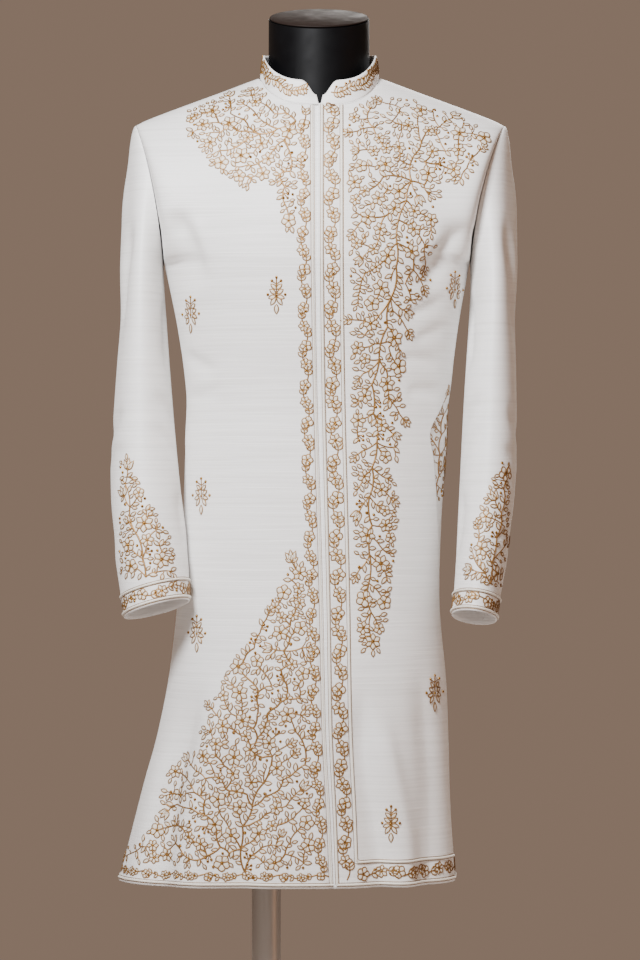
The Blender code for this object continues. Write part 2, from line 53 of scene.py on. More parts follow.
# The cut of the coat, in metres
cut = {
    "hem": 0.513,
    "chest": 1.270,
    "square": 2.3,
    "wall": 0.0014,
    "seamGap": 0.0005,
    "underlapStep": 0.012,
    "underlapDrop": 0.0030,
    "underlapBlend": 0.0015,
    "underlapFall": 0.4,
    "frontBorder": 0.0300,
    "ventTop": 1.065,
    "ventUnderlap": 0.016,
    "ventEase": 0.060,
    "ventFade": (0.065, 0.010),
    "ventTurn": (62, 80),
    "neckX": 0.0070,
    "neckCurveFront": 2.9,
    "neckCurveBack": 2.0,
    "neckHalfWidth": 0.0740,
    "neckFront": 0.0800,
    "neckBack": 0.0700,
    "rightTip": 0.2194,
    "leftTip": 0.2345,
    "armholeFlare": 1.6,
    "scyeFront": 0.060,
    "scyeBack": 0.064,
    "scyeRound": 0.6,
    "scyeLow": 0.8,
    "bendFront": 2.0,
    "bendBack": 3.0,
}
# Level sections in millimetres: height, right side, left side, front, back, front edge
sections = metres((
    (513, -242.5, 177.5, -127, 140, 23.8), (600, -219, 171.5, -128, 130, 20.5),
    (690, -196, 168.5, -129, 122, 16), (760, -181.5, 165.5, -129, 118, 14.5),
    (850, -171, 158, -124, 114, 13.2), (950, -165, 160, -118, 104, 11),
    (1050, -161.5, 166.5, -113, 92, 8.5), (1110, -158, 168.5, -112, 87, 7.2),
    (1190, -168, 177.5, -120, 96, 6), (1270, -184.5, 191.5, -128, 106, 5.2),
))
# Depth of the side seams and of the vents' front edges in millimetres: height, right, left
sideSeams = metres((
    (513, -30, -34), (760, -30, -34), (906, -34, -38),
    (980, -40, -52), (1030, -34, -62), (1065, -26, -68),
    (1100, -18, -45), (1140, -10, -18), (1270, 0, 0),
))
# Shoulder line in millimetres: distance from the neck's middle, height
shoulderLine = metres((
    (0, 1515), (50, 1509), (80, 1499), (120, 1484),
    (180, 1462), (215, 1448.5), (230, 1441),
))


def hermite(t, start, leave, end, arrive):
    # a smooth run from start to end that leaves and arrives in the given directions
    return (start * (2 * t**3 - 3 * t**2 + 1) + leave * (t**3 - 2 * t**2 + t)
            + end * (3 * t**2 - 2 * t**3) + arrive * (t**3 - t**2))


def readTable(table, place):
    # a row of the table at any place in its first column, read along a smooth curve
    place = min(max(place, table[0][0]), table[-1][0])
    k = 0
    while k < len(table) - 2 and table[k + 1][0] < place:
        k += 1
    before, after = table[max(k - 1, 0)], table[min(k + 2, len(table) - 1)]
    low, high = table[k], table[k + 1]
    step = high[0] - low[0]
    row = [place]
    for b, p, q, a in zip(before[1:], low[1:], high[1:], after[1:]):
        leave = (q - b) / (high[0] - before[0]) * step
        arrive = (a - p) / (after[0] - low[0]) * step
        row.append(hermite((place - low[0]) / step, p, leave, q, arrive))
    return row


@lru_cache(maxsize=None)
def section(z):
    row = readTable(sections, z)
    return {"middle": (row[1] + row[2]) / 2, "half": (row[2] - row[1]) / 2, "right": row[1], "left": row[2],
            "front": -row[3], "back": row[4], "edge": row[5]}


@lru_cache(maxsize=None)
def seamDepth(z, side):
    row = readTable(sideSeams, z)
    return row[2] if side > 0 else row[1]


@lru_cache(maxsize=None)
def shoulderHeight(reach):
    return readTable(shoulderLine, reach)[1]


def signedPower(value, power):
    return abs(value) ** power * (1 if value >= 0 else -1)


def ramp(value, start, end):
    t = min(max((value - start) / (end - start), 0.0), 1.0)
    return t * t * (3 - 2 * t)


def spread(start, end, count):
    return [start + (end - start) * k / (count - 1) for k in range(count)]


def levelOf(height):
    return round(cut["hem"] + (cut["chest"] - cut["hem"]) * min(height, 1.0), 6)


def bodyPoint(across, height, face):
    # across runs -1..1 from the right side to the left, height 0..1 to the chest and 1..2 to the shoulder
    z = levelOf(height)
    row = section(z)
    roundOff = max(1.0 - abs(across) ** cut["square"], 0.0) ** (1 / cut["square"])
    x = row["middle"] + row["half"] * across
    y = face * (row["back"] if face > 0 else row["front"]) * roundOff
    if height <= 1.0:
        return (x, y, z)
    t = height - 1.0
    name = "left" if across > 0 else "right"
    x += (cut[name + "Tip"] - abs(row[name])) * t ** cut["armholeFlare"] * signedPower(across, 3)
    top = shoulderHeight(round(abs(x - cut["neckX"]), 5))
    bend = cut["bendBack"] if face > 0 else cut["bendFront"]
    fall = max(1.0 - t**bend, 0.0) ** (1 / bend)
    scye = cut["scyeBack"] if face > 0 else cut["scyeFront"]
    y = y * fall + face * scye * sin(pi * t ** cut["scyeLow"]) ** cut["scyeRound"] * across**6
    return (x, y, cut["chest"] + (top - cut["chest"]) * t)


def neckLineY(x, face):
    share = abs(x - cut["neckX"]) / cut["neckHalfWidth"]
    if share >= 1.0:
        return 0.0
    power = cut["neckCurveBack"] if face > 0 else cut["neckCurveFront"]
    return face * (cut["neckBack"] if face > 0 else cut["neckFront"]) * (1.0 - share**power) ** (1 / power)


@lru_cache(maxsize=None)
def topHeight(across, face):
    # a column ends at 2 on the shoulder seam, and lower on the neckline
    low, high = 1.0, 2.0
    for _ in range(30):
        mid = (low + high) / 2
        p = bodyPoint(across, mid, face)
        if face * p[1] > face * neckLineY(p[0], face):
            low = mid
        else:
            high = mid
    return low


def acrossAt(x, z):
    row = section(z)
    return (x - row["middle"]) / row["half"]


def frontAcross(side, u, height):
    # u below 0 is metres from the border's inner side towards the edge, 0..1 runs on to the side seam
    z = levelOf(height)
    zone = cut["frontBorder"] if side > 0 else cut["underlapStep"]
    start = acrossAt(section(z)["edge"] + side * (zone + min(u, 0.0)), z)
    if u <= 0.0:
        return start
    y = seamDepth(z, side) if height < 1.0 else 0.0
    share = abs(y) / section(z)["front"]
    end = side * (1.0 - share ** cut["square"]) ** (1 / cut["square"])
    a = asin(signedPower(start, cut["square"] / 2))
    b = asin(max(min(signedPower(end, cut["square"] / 2), 1.0), -1.0))
    return signedPower(sin(a + (b - a) * u), 2 / cut["square"])


def frontPoint(side, u, height):
    across = round(frontAcross(side, u, height), 7)
    level = height
    if height > 1.0:
        level = 1.0 + (height - 1.0) * (topHeight(across, -1) - 1.0)
    x, y, z = bodyPoint(across, level, -1)
    if side < 0:
        inside = x - section(round(min(z, cut["chest"]), 4))["edge"]
        drop = cut["underlapDrop"] * ramp(inside, -cut["underlapStep"], -cut["underlapBlend"])
        y += drop
        z -= cut["underlapFall"] * drop * max(height - 1.0, 0.0) ** 2
    if (u >= 1.0 and height <= 1.0) or height >= 2.0:
        y -= cut["seamGap"] / 2
    return (x, y, z)


def backPoint(u, height):
    z = levelOf(height)
    row = section(z)
    under = ramp(cut["ventTop"] - z, 0.0, cut["ventEase"]) * cut["ventUnderlap"]
    ends = []
    for side in (-1, 1):
        share = abs(seamDepth(z, side) - under) / row["front"]
        ends.append(side * (pi / 2 + asin(share ** (cut["square"] / 2))) if height < 1.0 else side * pi / 2)
    turn = ends[0] + (ends[1] - ends[0]) * u
    across = round(signedPower(sin(turn), 2 / cut["square"]), 7)
    face = 1 if abs(turn) <= pi / 2 else -1
    if height > 1.0:
        height = 1.0 + (height - 1.0) * (topHeight(across, face) - 1.0)
    x, y, z = bodyPoint(across, height, face)
    if height <= 1.0:
        start, end = (cut["ventTop"] + above for above in cut["ventFade"])
        dip = ramp(z, start, end) * ramp(abs(turn), *(radians(angle) for angle in cut["ventTurn"]))
        away = hypot(x - row["middle"], y)
        x -= (x - row["middle"]) / away * cut["underlapDrop"] * dip
        y -= y / away * cut["underlapDrop"] * dip
    if (u in (0.0, 1.0) and height <= 1.0) or height >= 2.0:
        y += cut["seamGap"] / 2
    return (x, y, z)


# Sleeve rings: height, outer side, inner side, middle's depth, half depth, slope across, slope in depth
sleeveRings = {
    -1: (
        (1.215, -0.2375, -0.1835, -0.004, 0.080, 0.00, 0.00),
        (1.100, -0.2450, -0.1740, -0.027, 0.068, 0.00, -0.04),
        (1.000, -0.2492, -0.1640, -0.052, 0.058, 0.04, -0.10),
        (0.930, -0.2435, -0.1550, -0.070, 0.051, 0.12, -0.14),
        (0.875, -0.2345, -0.1515, -0.084, 0.046, 0.22, -0.17),
        (0.848, -0.2300, -0.1505, -0.090, 0.0445, 0.26, -0.18),
    ),
    1: (
        (1.215, 0.2475, 0.1925, -0.002, 0.080, 0.00, 0.00),
        (1.100, 0.2490, 0.1845, -0.024, 0.069, 0.00, -0.04),
        (1.000, 0.2475, 0.1785, -0.048, 0.061, -0.03, -0.10),
        (0.930, 0.2390, 0.1745, -0.066, 0.056, -0.08, -0.14),
        (0.875, 0.2280, 0.1710, -0.080, 0.052, -0.13, -0.18),
        (0.838, 0.2215, 0.1670, -0.090, 0.050, -0.15, -0.20),
    ),
}

armhole = {
    "off": 0.0004,
    "offUnder": 0.0010,
    "crown": 0.018,
    "crownShare": 0.10,
    "outward": 0.25,
    "crowd": 0.9,
}


@lru_cache(maxsize=None)
def sleeveRow(side, z):
    return readTable(sleeveRings[side][::-1], z)


def ringPoint(side, z, turn):
    row = sleeveRow(side, round(z, 6))
    x = side * abs(row[1] - row[2]) / 2 * cos(turn)
    y = -row[4] * sin(turn)
    return np.array(((row[1] + row[2]) / 2 + x, row[3] + y, z + row[5] * x + row[6] * y))


def armholePoint(side, turn):
    face = -1 if turn <= pi else 1
    share = 1.0 - abs(turn if turn <= pi else 2 * pi - turn) / pi
    return np.array(bodyPoint(side, min(1.0 + share ** armhole["crowd"], 2.0), face))


def sleevePoint(side, turn, down):
    # down runs 0..1 over the sleeve head and 1..2 on to the cuff
    turn = turn % (2 * pi)
    top, bottom = sleeveRings[side][0][0], sleeveRings[side][-1][0]
    if down >= 1.0:
        return ringPoint(side, top + (bottom - top) * (down - 1.0), turn)
    out = (1.0 + cos(turn)) / 2
    off = armhole["off"] + armhole["offUnder"] * (1.0 - out)
    start = armholePoint(side, turn) + np.array((side * off, 0.0, 0.0))
    outward = armhole["outward"] + (1.0 - armhole["outward"]) * out
    leave = np.array((side * outward, 0.0, -(1.0 - out)))
    leave /= np.linalg.norm(leave)
    end = ringPoint(side, top, turn)
    length = np.linalg.norm(end - start)
    below = ringPoint(side, top - 0.01, turn) - end
    arrive = below / np.linalg.norm(below) * length
    return hermite(down, start, leave * (armhole["crown"] + armhole["crownShare"] * length), end, arrive)


# The collar band, standing on the neckline
band = {
    "front": 0.031,
    "back": 0.037,
    "sideDrop": 0.0065,
    "lean": 0.0050,
    "leanBack": 0.4,
    "opening": 0.0042,
    "raise": 0.0006,
    "corner": 0.34,
    "cornerDrop": 0.62,
    "cornerClose": 0.0030,
    "off": 0.0004,
}


@lru_cache(maxsize=None)
def neckPoint(turn):
    face = -1 if abs(turn) <= pi / 2 else 1
    x = cut["neckX"] + cut["neckHalfWidth"] * 0.9995 * sin(turn)
    across = acrossAt(x, cut["chest"])
    for _ in range(6):
        p = bodyPoint(across, topHeight(round(across, 7), face), face)
        across += (x - p[0]) / section(cut["chest"])["half"]
    return np.array((x, neckLineY(x, face), p[2]))


def collarPoint(turn, up):
    # turn 0 is the front, pi the back; up runs from the neckline to the top edge
    base = neckPoint(round(turn, 6)).copy()
    behind = (1.0 - cos(turn)) / 2
    height = band["front"] + (band["back"] - band["front"]) * behind - band["sideDrop"] * sin(turn) ** 2
    opening = asin(band["opening"] / cut["neckHalfWidth"])
    corner = 1.0 - ramp(abs(turn), opening, opening + band["corner"])
    height *= 1.0 - band["cornerDrop"] * corner**2
    inward = np.array((cut["neckX"] - base[0], -base[1], 0.0))
    inward /= np.linalg.norm(inward)
    base[0] -= (1 if turn > 0 else -1) * band["cornerClose"] * (1.0 - up) * corner**2
    lean = band["lean"] * (1.0 - band["leanBack"] * behind) * up + band["off"]
    return base + inward * lean + np.array((0.0, 0.0, band["raise"] + height * up))


# Folds of the worn cloth in millimetres: where each starts and ends, its width and depth (a ridge is above 0)
frontFolds = metres((
    (-176, 1335, -128, 1235, 13, -3.4), (-160, 1325, -118, 1250, 11, 1.6),
    (184, 1325, 136, 1222, 13.5, -3.6), (166, 1310, 124, 1245, 10, 1.8),
    (104, 1204, 170, 1226, 5.5, -1.1), (118, 1176, 168, 1190, 5, -0.9),
    (96, 1150, 160, 1148, 6, -1), (110, 1108, 160, 1118, 6.5, -1),
    (-164, 1158, -112, 1140, 7, -1.1), (-160, 1108, -105, 1118, 6, -0.9),
    (60, 770, 78, 500, 12, -3.2), (86, 742, 108, 500, 14, 2.6),
    (128, 800, 142, 500, 11, -1.8), (-60, 745, -78, 500, 15, -2.2),
    (-108, 790, -138, 500, 17, 2.6), (-140, 770, -186, 500, 14, -3.4),
    (-170, 700, -222, 500, 10, 2),
))
backFolds = metres((
    (-176, 1335, -120, 1225, 13.5, -3.4), (184, 1325, 128, 1215, 13, -3.2),
    (-60, 1130, 30, 1118, 9, -1.6), (-20, 1095, 90, 1104, 8, -1.4),
    (-120, 1082, -45, 1070, 7, -1.1), (-20, 800, -30, 500, 16, -4),
    (30, 760, 40, 500, 15, 3.2), (80, 820, 98, 500, 14, -3.6),
    (130, 740, 146, 500, 11, 2), (-85, 780, -110, 500, 17, 3.6),
    (-130, 810, -170, 500, 15, -4), (-165, 720, -212, 500, 11, 2),
))
# On the sleeves the first measure is depth
outerFolds = metres((
    (-55, 1330, -30, 1160, 11, -2.2), (45, 1340, 30, 1140, 12, -2.6),
    (0, 1405, -6, 1190, 16, 1.6), (-85, 1098, -20, 1050, 9.5, -0.9),
    (-100, 1052, -35, 1022, 8.5, -0.7), (20, 1082, -40, 1025, 10, -0.9),
    (-40, 1020, -70, 900, 12, -1.6),
))
innerFolds = metres((
    (-95, 1110, -30, 1062, 9.5, -0.9), (-105, 1068, -45, 1032, 8.5, -0.7),
    (-20, 1240, -35, 1120, 12, -1.8), (-70, 1000, -85, 900, 10, -1.2),
))

foldShape = {
    "depth": 3.0,
    "wander": 0.5,
    "widen": 0.45,
    "soft": 1.25,
    "steep": 0.8,
    "waves": 4.1,
    "fadeIn": 0.3,
    "fadeOut": 0.4,
    "hemFadeIn": 0.35,
    "edgeFade": 0.035,
    "sleeveFade": 0.012,
}


def foldDepth(a, z, folds):
    # each fold is a soft trough or ridge that fades at both ends and is steeper on one side
    total = np.zeros_like(a)
    for k, (a1, z1, a2, z2, width, depth) in enumerate(folds):
        length = hypot(a2 - a1, z2 - z1)
        da, dz = (a2 - a1) / length, (z2 - z1) / length
        along = ((a - a1) * da + (z - z1) * dz) / length
        sway = width * foldShape["wander"] * np.sin(along * foldShape["waves"] + k)
        off = (a - a1) * dz - (z - z1) * da + sway
        spreadWidth = width * (1.0 + foldShape["widen"] * np.clip(along, 0, 1))
        spreadWidth = spreadWidth * np.where(off > 0, foldShape["soft"], foldShape["steep"])
        atHem = z2 <= cut["hem"]
        fade = np.clip(along / foldShape["hemFadeIn" if atHem else "fadeIn"], 0, 1)
        if not atHem:
            fade = fade * np.clip((1 - along) / foldShape["fadeOut"], 0, 1)
        fade = fade * fade * (3 - 2 * fade)
        total += foldShape["depth"] * depth * np.exp(-((off / spreadWidth) ** 2)) * fade * (along > 0)
    return total


def gridNormals(grid, closed, turnOver):
    across = np.roll(grid, -1, 1) - np.roll(grid, 1, 1) if closed else np.gradient(grid, axis=1)
    normal = np.cross(across, np.gradient(grid, axis=0)) * (-1 if turnOver else 1)
    return normal / np.maximum(np.linalg.norm(normal, axis=2, keepdims=True), 1e-12)


def gridQuads(index, turned=False):
    # the four-sided faces between the points of a grid
    a, b, c, d = index[:-1, :-1], index[:-1, 1:], index[1:, 1:], index[1:, :-1]
    return np.stack((a, d, c, b) if turned else (a, b, c, d), axis=2).reshape(-1, 4)


def gridIndex(rows, columns, closed):
    index = np.arange(rows * columns).reshape(rows, columns)
    return np.concatenate([index, index[:, :1]], axis=1) if closed else index


def addPiece(name, mesh, node=None):
    piece = bpy.data.objects.new(name, mesh)
    coatGroup.objects.link(piece)
    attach(piece, "root")
    if node:
        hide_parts(node)
    return piece


def clothPiece(name, grid, closed, turnOver, folds, node):
    # one shell of cloth from a grid of points; folds gives how far each point moves out
    grid = grid + gridNormals(grid, closed, turnOver) * folds(grid)[..., None]
    quads = gridQuads(gridIndex(*grid.shape[:2], closed))
    if turnOver:
        quads = quads[:, ::-1]
    mesh = bpy.data.meshes.new(name + "Cloth")
    mesh.from_pydata(grid.reshape(-1, 3).tolist(), [], quads.tolist())
    mesh.shade_smooth()
    piece = addPiece(name + "Cloth", mesh, node)
    wall = piece.modifiers.new("wall", "SOLIDIFY")
    wall.thickness = cut["wall"]
    wall.offset = -1.0
    wall.use_rim = True
    return {"piece": piece, "grid": grid, "normal": gridNormals(grid, closed, turnOver), "closed": closed}


def panelFold(face, folds):
    # folds of a front (-1) or of the back (1); they fade out towards the side seams
    def depth(grid):
        fade = np.clip(face * grid[..., 1] / foldShape["edgeFade"], 0, 1)
        return foldDepth(grid[..., 0], grid[..., 2], folds) * fade

    return depth


def sleeveFold(grid):
    total = np.zeros(grid.shape[:2])
    middle = grid[..., 0].mean(axis=1, keepdims=True)
    outward = np.sign(middle.mean()) * (grid[..., 0] - middle)
    for side, folds in ((1, outerFolds), (-1, innerFolds)):
        face = np.clip(side * outward / foldShape["sleeveFade"], 0, 1)
        total += foldDepth(grid[..., 1], grid[..., 2], folds) * face
    return total


def noFold(grid):
    return np.zeros(grid.shape[:2])


def heightsUp(low, high):
    return spread(0.0, 1.0, low) + [1.0 + sin(pi / 2 * k / (high - 1)) for k in range(1, high)]


# How finely the panels are cut: points along each edge and across the borders
fineness = {
    "body": (150, 60),
    "leftBorder": (0.0003, 0.004, 0.008, 0.013, 0.019, 0.025),
    "rightBorder": (-0.036, -0.028, -0.020, -0.012, -0.004, -0.001,
                    0.001, 0.003, 0.005, 0.007, 0.009, 0.0105),
    "left": 64,
    "right": 84,
    "back": 130,
    "sleeveTurns": 96,
    "sleeveDowns": (28, 84),
    "collarCorner": 16,
    "collarRound": 130,
    "collarUp": 12,
}
print("cutting the panels")
heights = heightsUp(*fineness["body"])
zoneLeft = [d - cut["frontBorder"] for d in fineness["leftBorder"]]
zoneRight = [d - cut["underlapStep"] for d in fineness["rightBorder"]]


def frontGrid(side, columns):
    return np.array([[frontPoint(side, u, h) for u in columns] for h in heights])


grids = {
    "frontLeft": frontGrid(1, zoneLeft + spread(0.0, 1.0, fineness["left"])),
    "frontRight": frontGrid(-1, zoneRight + spread(0.0, 1.0, fineness["right"])),
    "back": np.array([[backPoint(u, h) for u in spread(0.0, 1.0, fineness["back"])] for h in heights]),
}
turns = [2 * pi * k / fineness["sleeveTurns"] for k in range(fineness["sleeveTurns"])]
downs = spread(0.0, 1.0, fineness["sleeveDowns"][0])[:-1] + spread(1.0, 2.0, fineness["sleeveDowns"][1])
for side, name in ((-1, "sleeveRight"), (1, "sleeveLeft")):
    grids[name] = np.array([[sleevePoint(side, t, d) for t in turns] for d in downs])
opening = asin(band["opening"] / cut["neckHalfWidth"])
corner = band["corner"]
collarTurns = (spread(opening, opening + corner, fineness["collarCorner"])[:-1]
               + spread(opening + corner, 2 * pi - opening - corner, fineness["collarRound"])
               + spread(2 * pi - opening - corner, 2 * pi - opening, fineness["collarCorner"])[1:])
collarTurns = [t if t <= pi else t - 2 * pi for t in collarTurns]
collarUps = spread(0.0, 1.0, fineness["collarUp"])
grids["collar"] = np.array([[collarPoint(t, up) for t in collarTurns] for up in collarUps])

cloth = {}
for name, closed, turnOver, folds, node in (
    ("frontRight", False, True, panelFold(-1, frontFolds), "front_right"),
    ("frontLeft", False, False, panelFold(-1, frontFolds), "front_left"),
    ("back", False, True, panelFold(1, backFolds), "back"),
    ("sleeveRight", True, True, sleeveFold, "sleeve_right"),
    ("sleeveLeft", True, False, sleeveFold, "sleeve_left"),
    ("collar", False, False, noFold, "collar"),
):
    cloth[name] = clothPiece(name, grids[name], closed, turnOver, folds, node)
print("cloth made")

# Looks of the cloth, threads and stand
silk = {
    "colour": (0.88, 0.868, 0.855, 1.0),
    "slubColour": (0.93, 0.915, 0.895, 1.0),
    "shadeColour": (0.80, 0.785, 0.765, 1.0),
    "slubScale": (7.0, 7.0, 420.0),
    "weaveScale": (1500.0, 1500.0, 1500.0),
    "roughness": 0.50,
    "sheen": 0.25,
    "slubBump": 0.00016,
    "weaveBump": 0.00003,
}
# Threads: colour, roughness, sheen, metal, depth of the strands, strands to the millimetre
threads = {
    "satin": ((0.80, 0.735, 0.635, 1.0), 0.36, 0.35, 0.0, 0.00005, 3.4),
    "gold": ((0.275, 0.145, 0.045, 1.0), 0.38, 0.0, 0.45, 0.00006, 2.4),
    "beadGold": ((0.36, 0.175, 0.030, 1.0), 0.24, 0.0, 0.85, 0.0, 1.0),
    "cord": ((0.84, 0.79, 0.70, 1.0), 0.40, 0.3, 0.0, 0.00008, 1.6),
}


def setInputs(node, values):
    for name, value in values.items():
        node.inputs[name].default_value = value


def newLook(name, values):
    look = bpy.data.materials.new(name)
    look.use_nodes = True
    shader = look.node_tree.nodes["Principled BSDF"]
    setInputs(shader, values)
    return look, look.node_tree, shader


def placedNoise(tree, scale, detail):
    place = tree.nodes.new("ShaderNodeTexCoord")
    stretch = tree.nodes.new("ShaderNodeMapping")
    noise = tree.nodes.new("ShaderNodeTexNoise")
    setInputs(stretch, {"Scale": scale})
    setInputs(noise, {"Scale": 1.0, "Detail": detail})
    tree.links.new(place.outputs["Object"], stretch.inputs["Vector"])
    tree.links.new(stretch.outputs["Vector"], noise.inputs["Vector"])
    return noise


def colourRamp(tree, source, stops):
    rampNode = tree.nodes.new("ShaderNodeValToRGB")
    tree.links.new(source, rampNode.inputs["Fac"])
    keys = rampNode.color_ramp.elements
    while len(keys) < len(stops):
        keys.new(0.5)
    for key, (at, colour) in zip(keys, stops):
        key.position = at
        key.color = colour
    return rampNode


def bumpFrom(tree, source, distance, earlier=None):
    bump = tree.nodes.new("ShaderNodeBump")
    setInputs(bump, {"Strength": 1.0, "Distance": distance})
    tree.links.new(source, bump.inputs["Height"])
    if earlier:
        tree.links.new(earlier.outputs["Normal"], bump.inputs["Normal"])
    return bump


def silkLook():
    facts = {"Roughness": silk["roughness"], "Sheen Weight": silk["sheen"]}
    look, tree, shader = newLook("ivoryRawSilk", facts)
    slubs = placedNoise(tree, silk["slubScale"], 4.0)
    stops = ((0.30, silk["shadeColour"]), (0.50, silk["colour"]), (0.72, silk["slubColour"]))
    colour = colourRamp(tree, slubs.outputs["Fac"], stops)
    tree.links.new(colour.outputs["Color"], shader.inputs["Base Color"])
    thick = colourRamp(tree, slubs.outputs["Fac"], ((0.52, (0, 0, 0, 1)), (0.75, (1, 1, 1, 1))))
    weave = placedNoise(tree, silk["weaveScale"], 1.0)
    first = bumpFrom(tree, weave.outputs["Fac"], silk["weaveBump"])
    second = bumpFrom(tree, thick.outputs["Color"], silk["slubBump"], first)
    tree.links.new(second.outputs["Normal"], shader.inputs["Normal"])
    return look


def threadLook(name):
    colour, roughness, sheen, metallic, depth, turns = threads[name]
    facts = {"Base Color": colour, "Roughness": roughness, "Metallic": metallic, "Sheen Weight": sheen}
    look, tree, shader = newLook(name + "Thread", facts)
    if depth:
        place = tree.nodes.new("ShaderNodeTexCoord")
        strands = tree.nodes.new("ShaderNodeTexWave")
        strands.bands_direction = "DIAGONAL"
        setInputs(strands, {"Scale": turns / 6.0, "Distortion": 1.5, "Detail": 1.0})
        tree.links.new(place.outputs["UV"], strands.inputs["Vector"])
        bump = bumpFrom(tree, strands.outputs["Fac"], depth)
        tree.links.new(bump.outputs["Normal"], shader.inputs["Normal"])
    return look


def standLook(name, colour, roughness, metallic, scale, bump):
    look, tree, shader = newLook(name, {"Base Color": colour, "Metallic": metallic, "Roughness": roughness,
                                        "Specular IOR Level": 0.12 if metallic < 0.5 else 0.5})
    grain = placedNoise(tree, scale, 2.0)
    stops = [(at, (roughness * share,) * 3 + (1,)) for at, share in ((0.3, 0.85), (0.7, 1.15))]
    rough = colourRamp(tree, grain.outputs["Fac"], stops)
    tree.links.new(rough.outputs["Color"], shader.inputs["Roughness"])
    if bump:
        tree.links.new(bumpFrom(tree, grain.outputs["Fac"], bump).outputs["Normal"], shader.inputs["Normal"])
    return look


# The stand: colour, roughness, metal, scale of the grain, depth of the grain
standLooks = {
    "form": ("formSatin", (0.0015, 0.0015, 0.002, 1), 0.50, 0.0, (40, 40, 40), 0.0),
    "cap": ("capMatte", (0.016, 0.010, 0.008, 1), 0.6, 0.0, (60, 60, 60), 0.00002),
    "steel": ("brushedSteel", (0.42, 0.39, 0.36, 1), 0.34, 1.0, (900, 900, 6), 0.00002),
    "base": ("powderCoat", (0.030, 0.030, 0.032, 1), 0.5, 0.2, (700, 700, 700), 0.00005),
}
standNodes = {
    "form_torso": "form",
    "form_cap": "cap",
    "pole_flange": "steel",
    "pole": "steel",
    "base_plate": "base",
}
looks = {name: threadLook(name) for name in threads}
looks["silk"] = silkLook()
for name, facts in standLooks.items():
    looks[name] = standLook(*facts)
for piece in cloth.values():
    piece["piece"].data.materials.append(looks["silk"])


def smoothStand(node, look):
    # the stand's own solid with its facets smoothed
    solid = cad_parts[node]
    solid.material_slots[0].material = looks[look]
    shape = bmesh.new()
    shape.from_mesh(solid.data)
    bmesh.ops.remove_doubles(shape, verts=shape.verts, dist=0.00002)
    mesh = bpy.data.meshes.new(node + "Smooth")
    shape.to_mesh(mesh)
    shape.free()
    if "custom_normal" in mesh.attributes:
        mesh.attributes.remove(mesh.attributes["custom_normal"])
    mesh.shade_smooth()
    mesh.set_sharp_from_angle(angle=radians(32))
    mesh.materials.clear()
    mesh.materials.append(looks[look])
    addPiece(node + "Smooth", mesh, node)


for node, look in standNodes.items():
    smoothStand(node, look)
print("looks made")

# Embroidery: padded satin leaves and petals with a couched gold outline, gold beads and gold stems
stitch = {
    "outline": 0.00090,
    "stem": 0.00096,
    "mainStem": 0.00124,
    "dome": 0.0009,
    "bead": 0.0018,
    "stalk": 0.8,
    "lift": 0.00025,
    "line": 0.00036,
    "cord": 0.00125,
    "leafShape": (0.0, 0.60, 0.92, 1.0, 0.84, 0.50, 0.0),
    "petalShape": (0.16, 0.60, 0.88, 1.0, 0.96, 0.70, 0.0),
    "tulipShape": (0.22, 0.80, 1.0, 0.88, 0.60, 0.30, 0.0),
}


def ahead(foot, angle, distance):
    # the point of the design at a distance from foot; the angle is turned from the second measure
    return foot[0] + sin(angle) * distance, foot[1] + cos(angle) * distance


def apart(p, q):
    return hypot(p[0] - q[0], p[1] - q[1])


def outlineOf(shape):
    # the closed outline of a leaf one unit long and one wide, foot at 0,0
    stations = spread(0.0, 1.0, len(shape))
    right = [(shape[k] / 2, stations[k]) for k in range(len(shape))]
    left = [(-x, y) for x, y in right[-2:0:-1]]
    if shape[0] > 0.01:
        left.append((-right[0][0], right[0][1]))
    return right + left


def fillPrototype(shape):
    # a domed satin fill: three lines of points from foot to tip
    points, uvs, quads = [], [], []
    count = len(shape)
    for k, y in enumerate(spread(0.0, 1.0, count)):
        for side in (-1, 0, 1):
            high = 0.0 if side else sin(pi * min(max(y, 0.06), 0.94)) ** 0.6
            points.append((side * max(shape[k], 0.02) / 2, y, high))
            uvs.append((side * 0.5, y))
    for k in range(count - 1):
        for c in range(2):
            a = k * 3 + c
            quads.append((a, a + 1, a + 4, a + 3))
    return np.array(points), np.array(uvs), np.array(quads)


def beadPrototype():
    points, quads = [], []
    for spanned, high in ((1.0, 0.0), (0.92, 0.55), (0.55, 0.92)):
        for k in range(8):
            points.append((spanned * cos(pi * k / 4), spanned * sin(pi * k / 4), high))
    for ring in range(2):
        for k in range(8):
            nextOne = (k + 1) % 8
            quads.append((ring * 8 + k, ring * 8 + nextOne, ring * 8 + 8 + nextOne, ring * 8 + 8 + k))
    for k in (0, 2, 4):
        quads.append((16 + k, 16 + k + 1, 16 + k + 2, 16 + (k + 3) % 8))
    return np.array(points), np.zeros((len(points), 2)), np.array(quads)


# Proportions of the motifs, as shares of their own length or radius; turns are in radians
motif = {
    "threadHeight": 1.15,
    "curl": {"turns": 4.9, "close": 0.66, "reach": 1.05, "taper": 0.3, "bead": 0.85},
    "flower": {"petalFoot": 0.16, "petalLength": 0.84, "petalWidth": 0.80, "heart": 0.15, "bead": 0.75},
    "petalFill": {"petalShape": 0.86, "leafShape": 0.80},
    "tulip": {"petals": ((-0.52, 0.92), (0.52, 0.92), (0.0, 1.0)), "width": 0.46, "bead": 0.7},
    "twig": ((-0.6, 0.75), (0.0, 1.0), (0.6, 0.75)),
    "spray": {"leaf": 1.35, "smaller": 0.22, "turn": 0.82, "width": 0.47, "endLeaf": (1.3, 0.58)},
}


def lengthsAlong(points):
    return np.concatenate([[0.0], np.cumsum(np.linalg.norm(np.diff(points, axis=0), axis=1))])


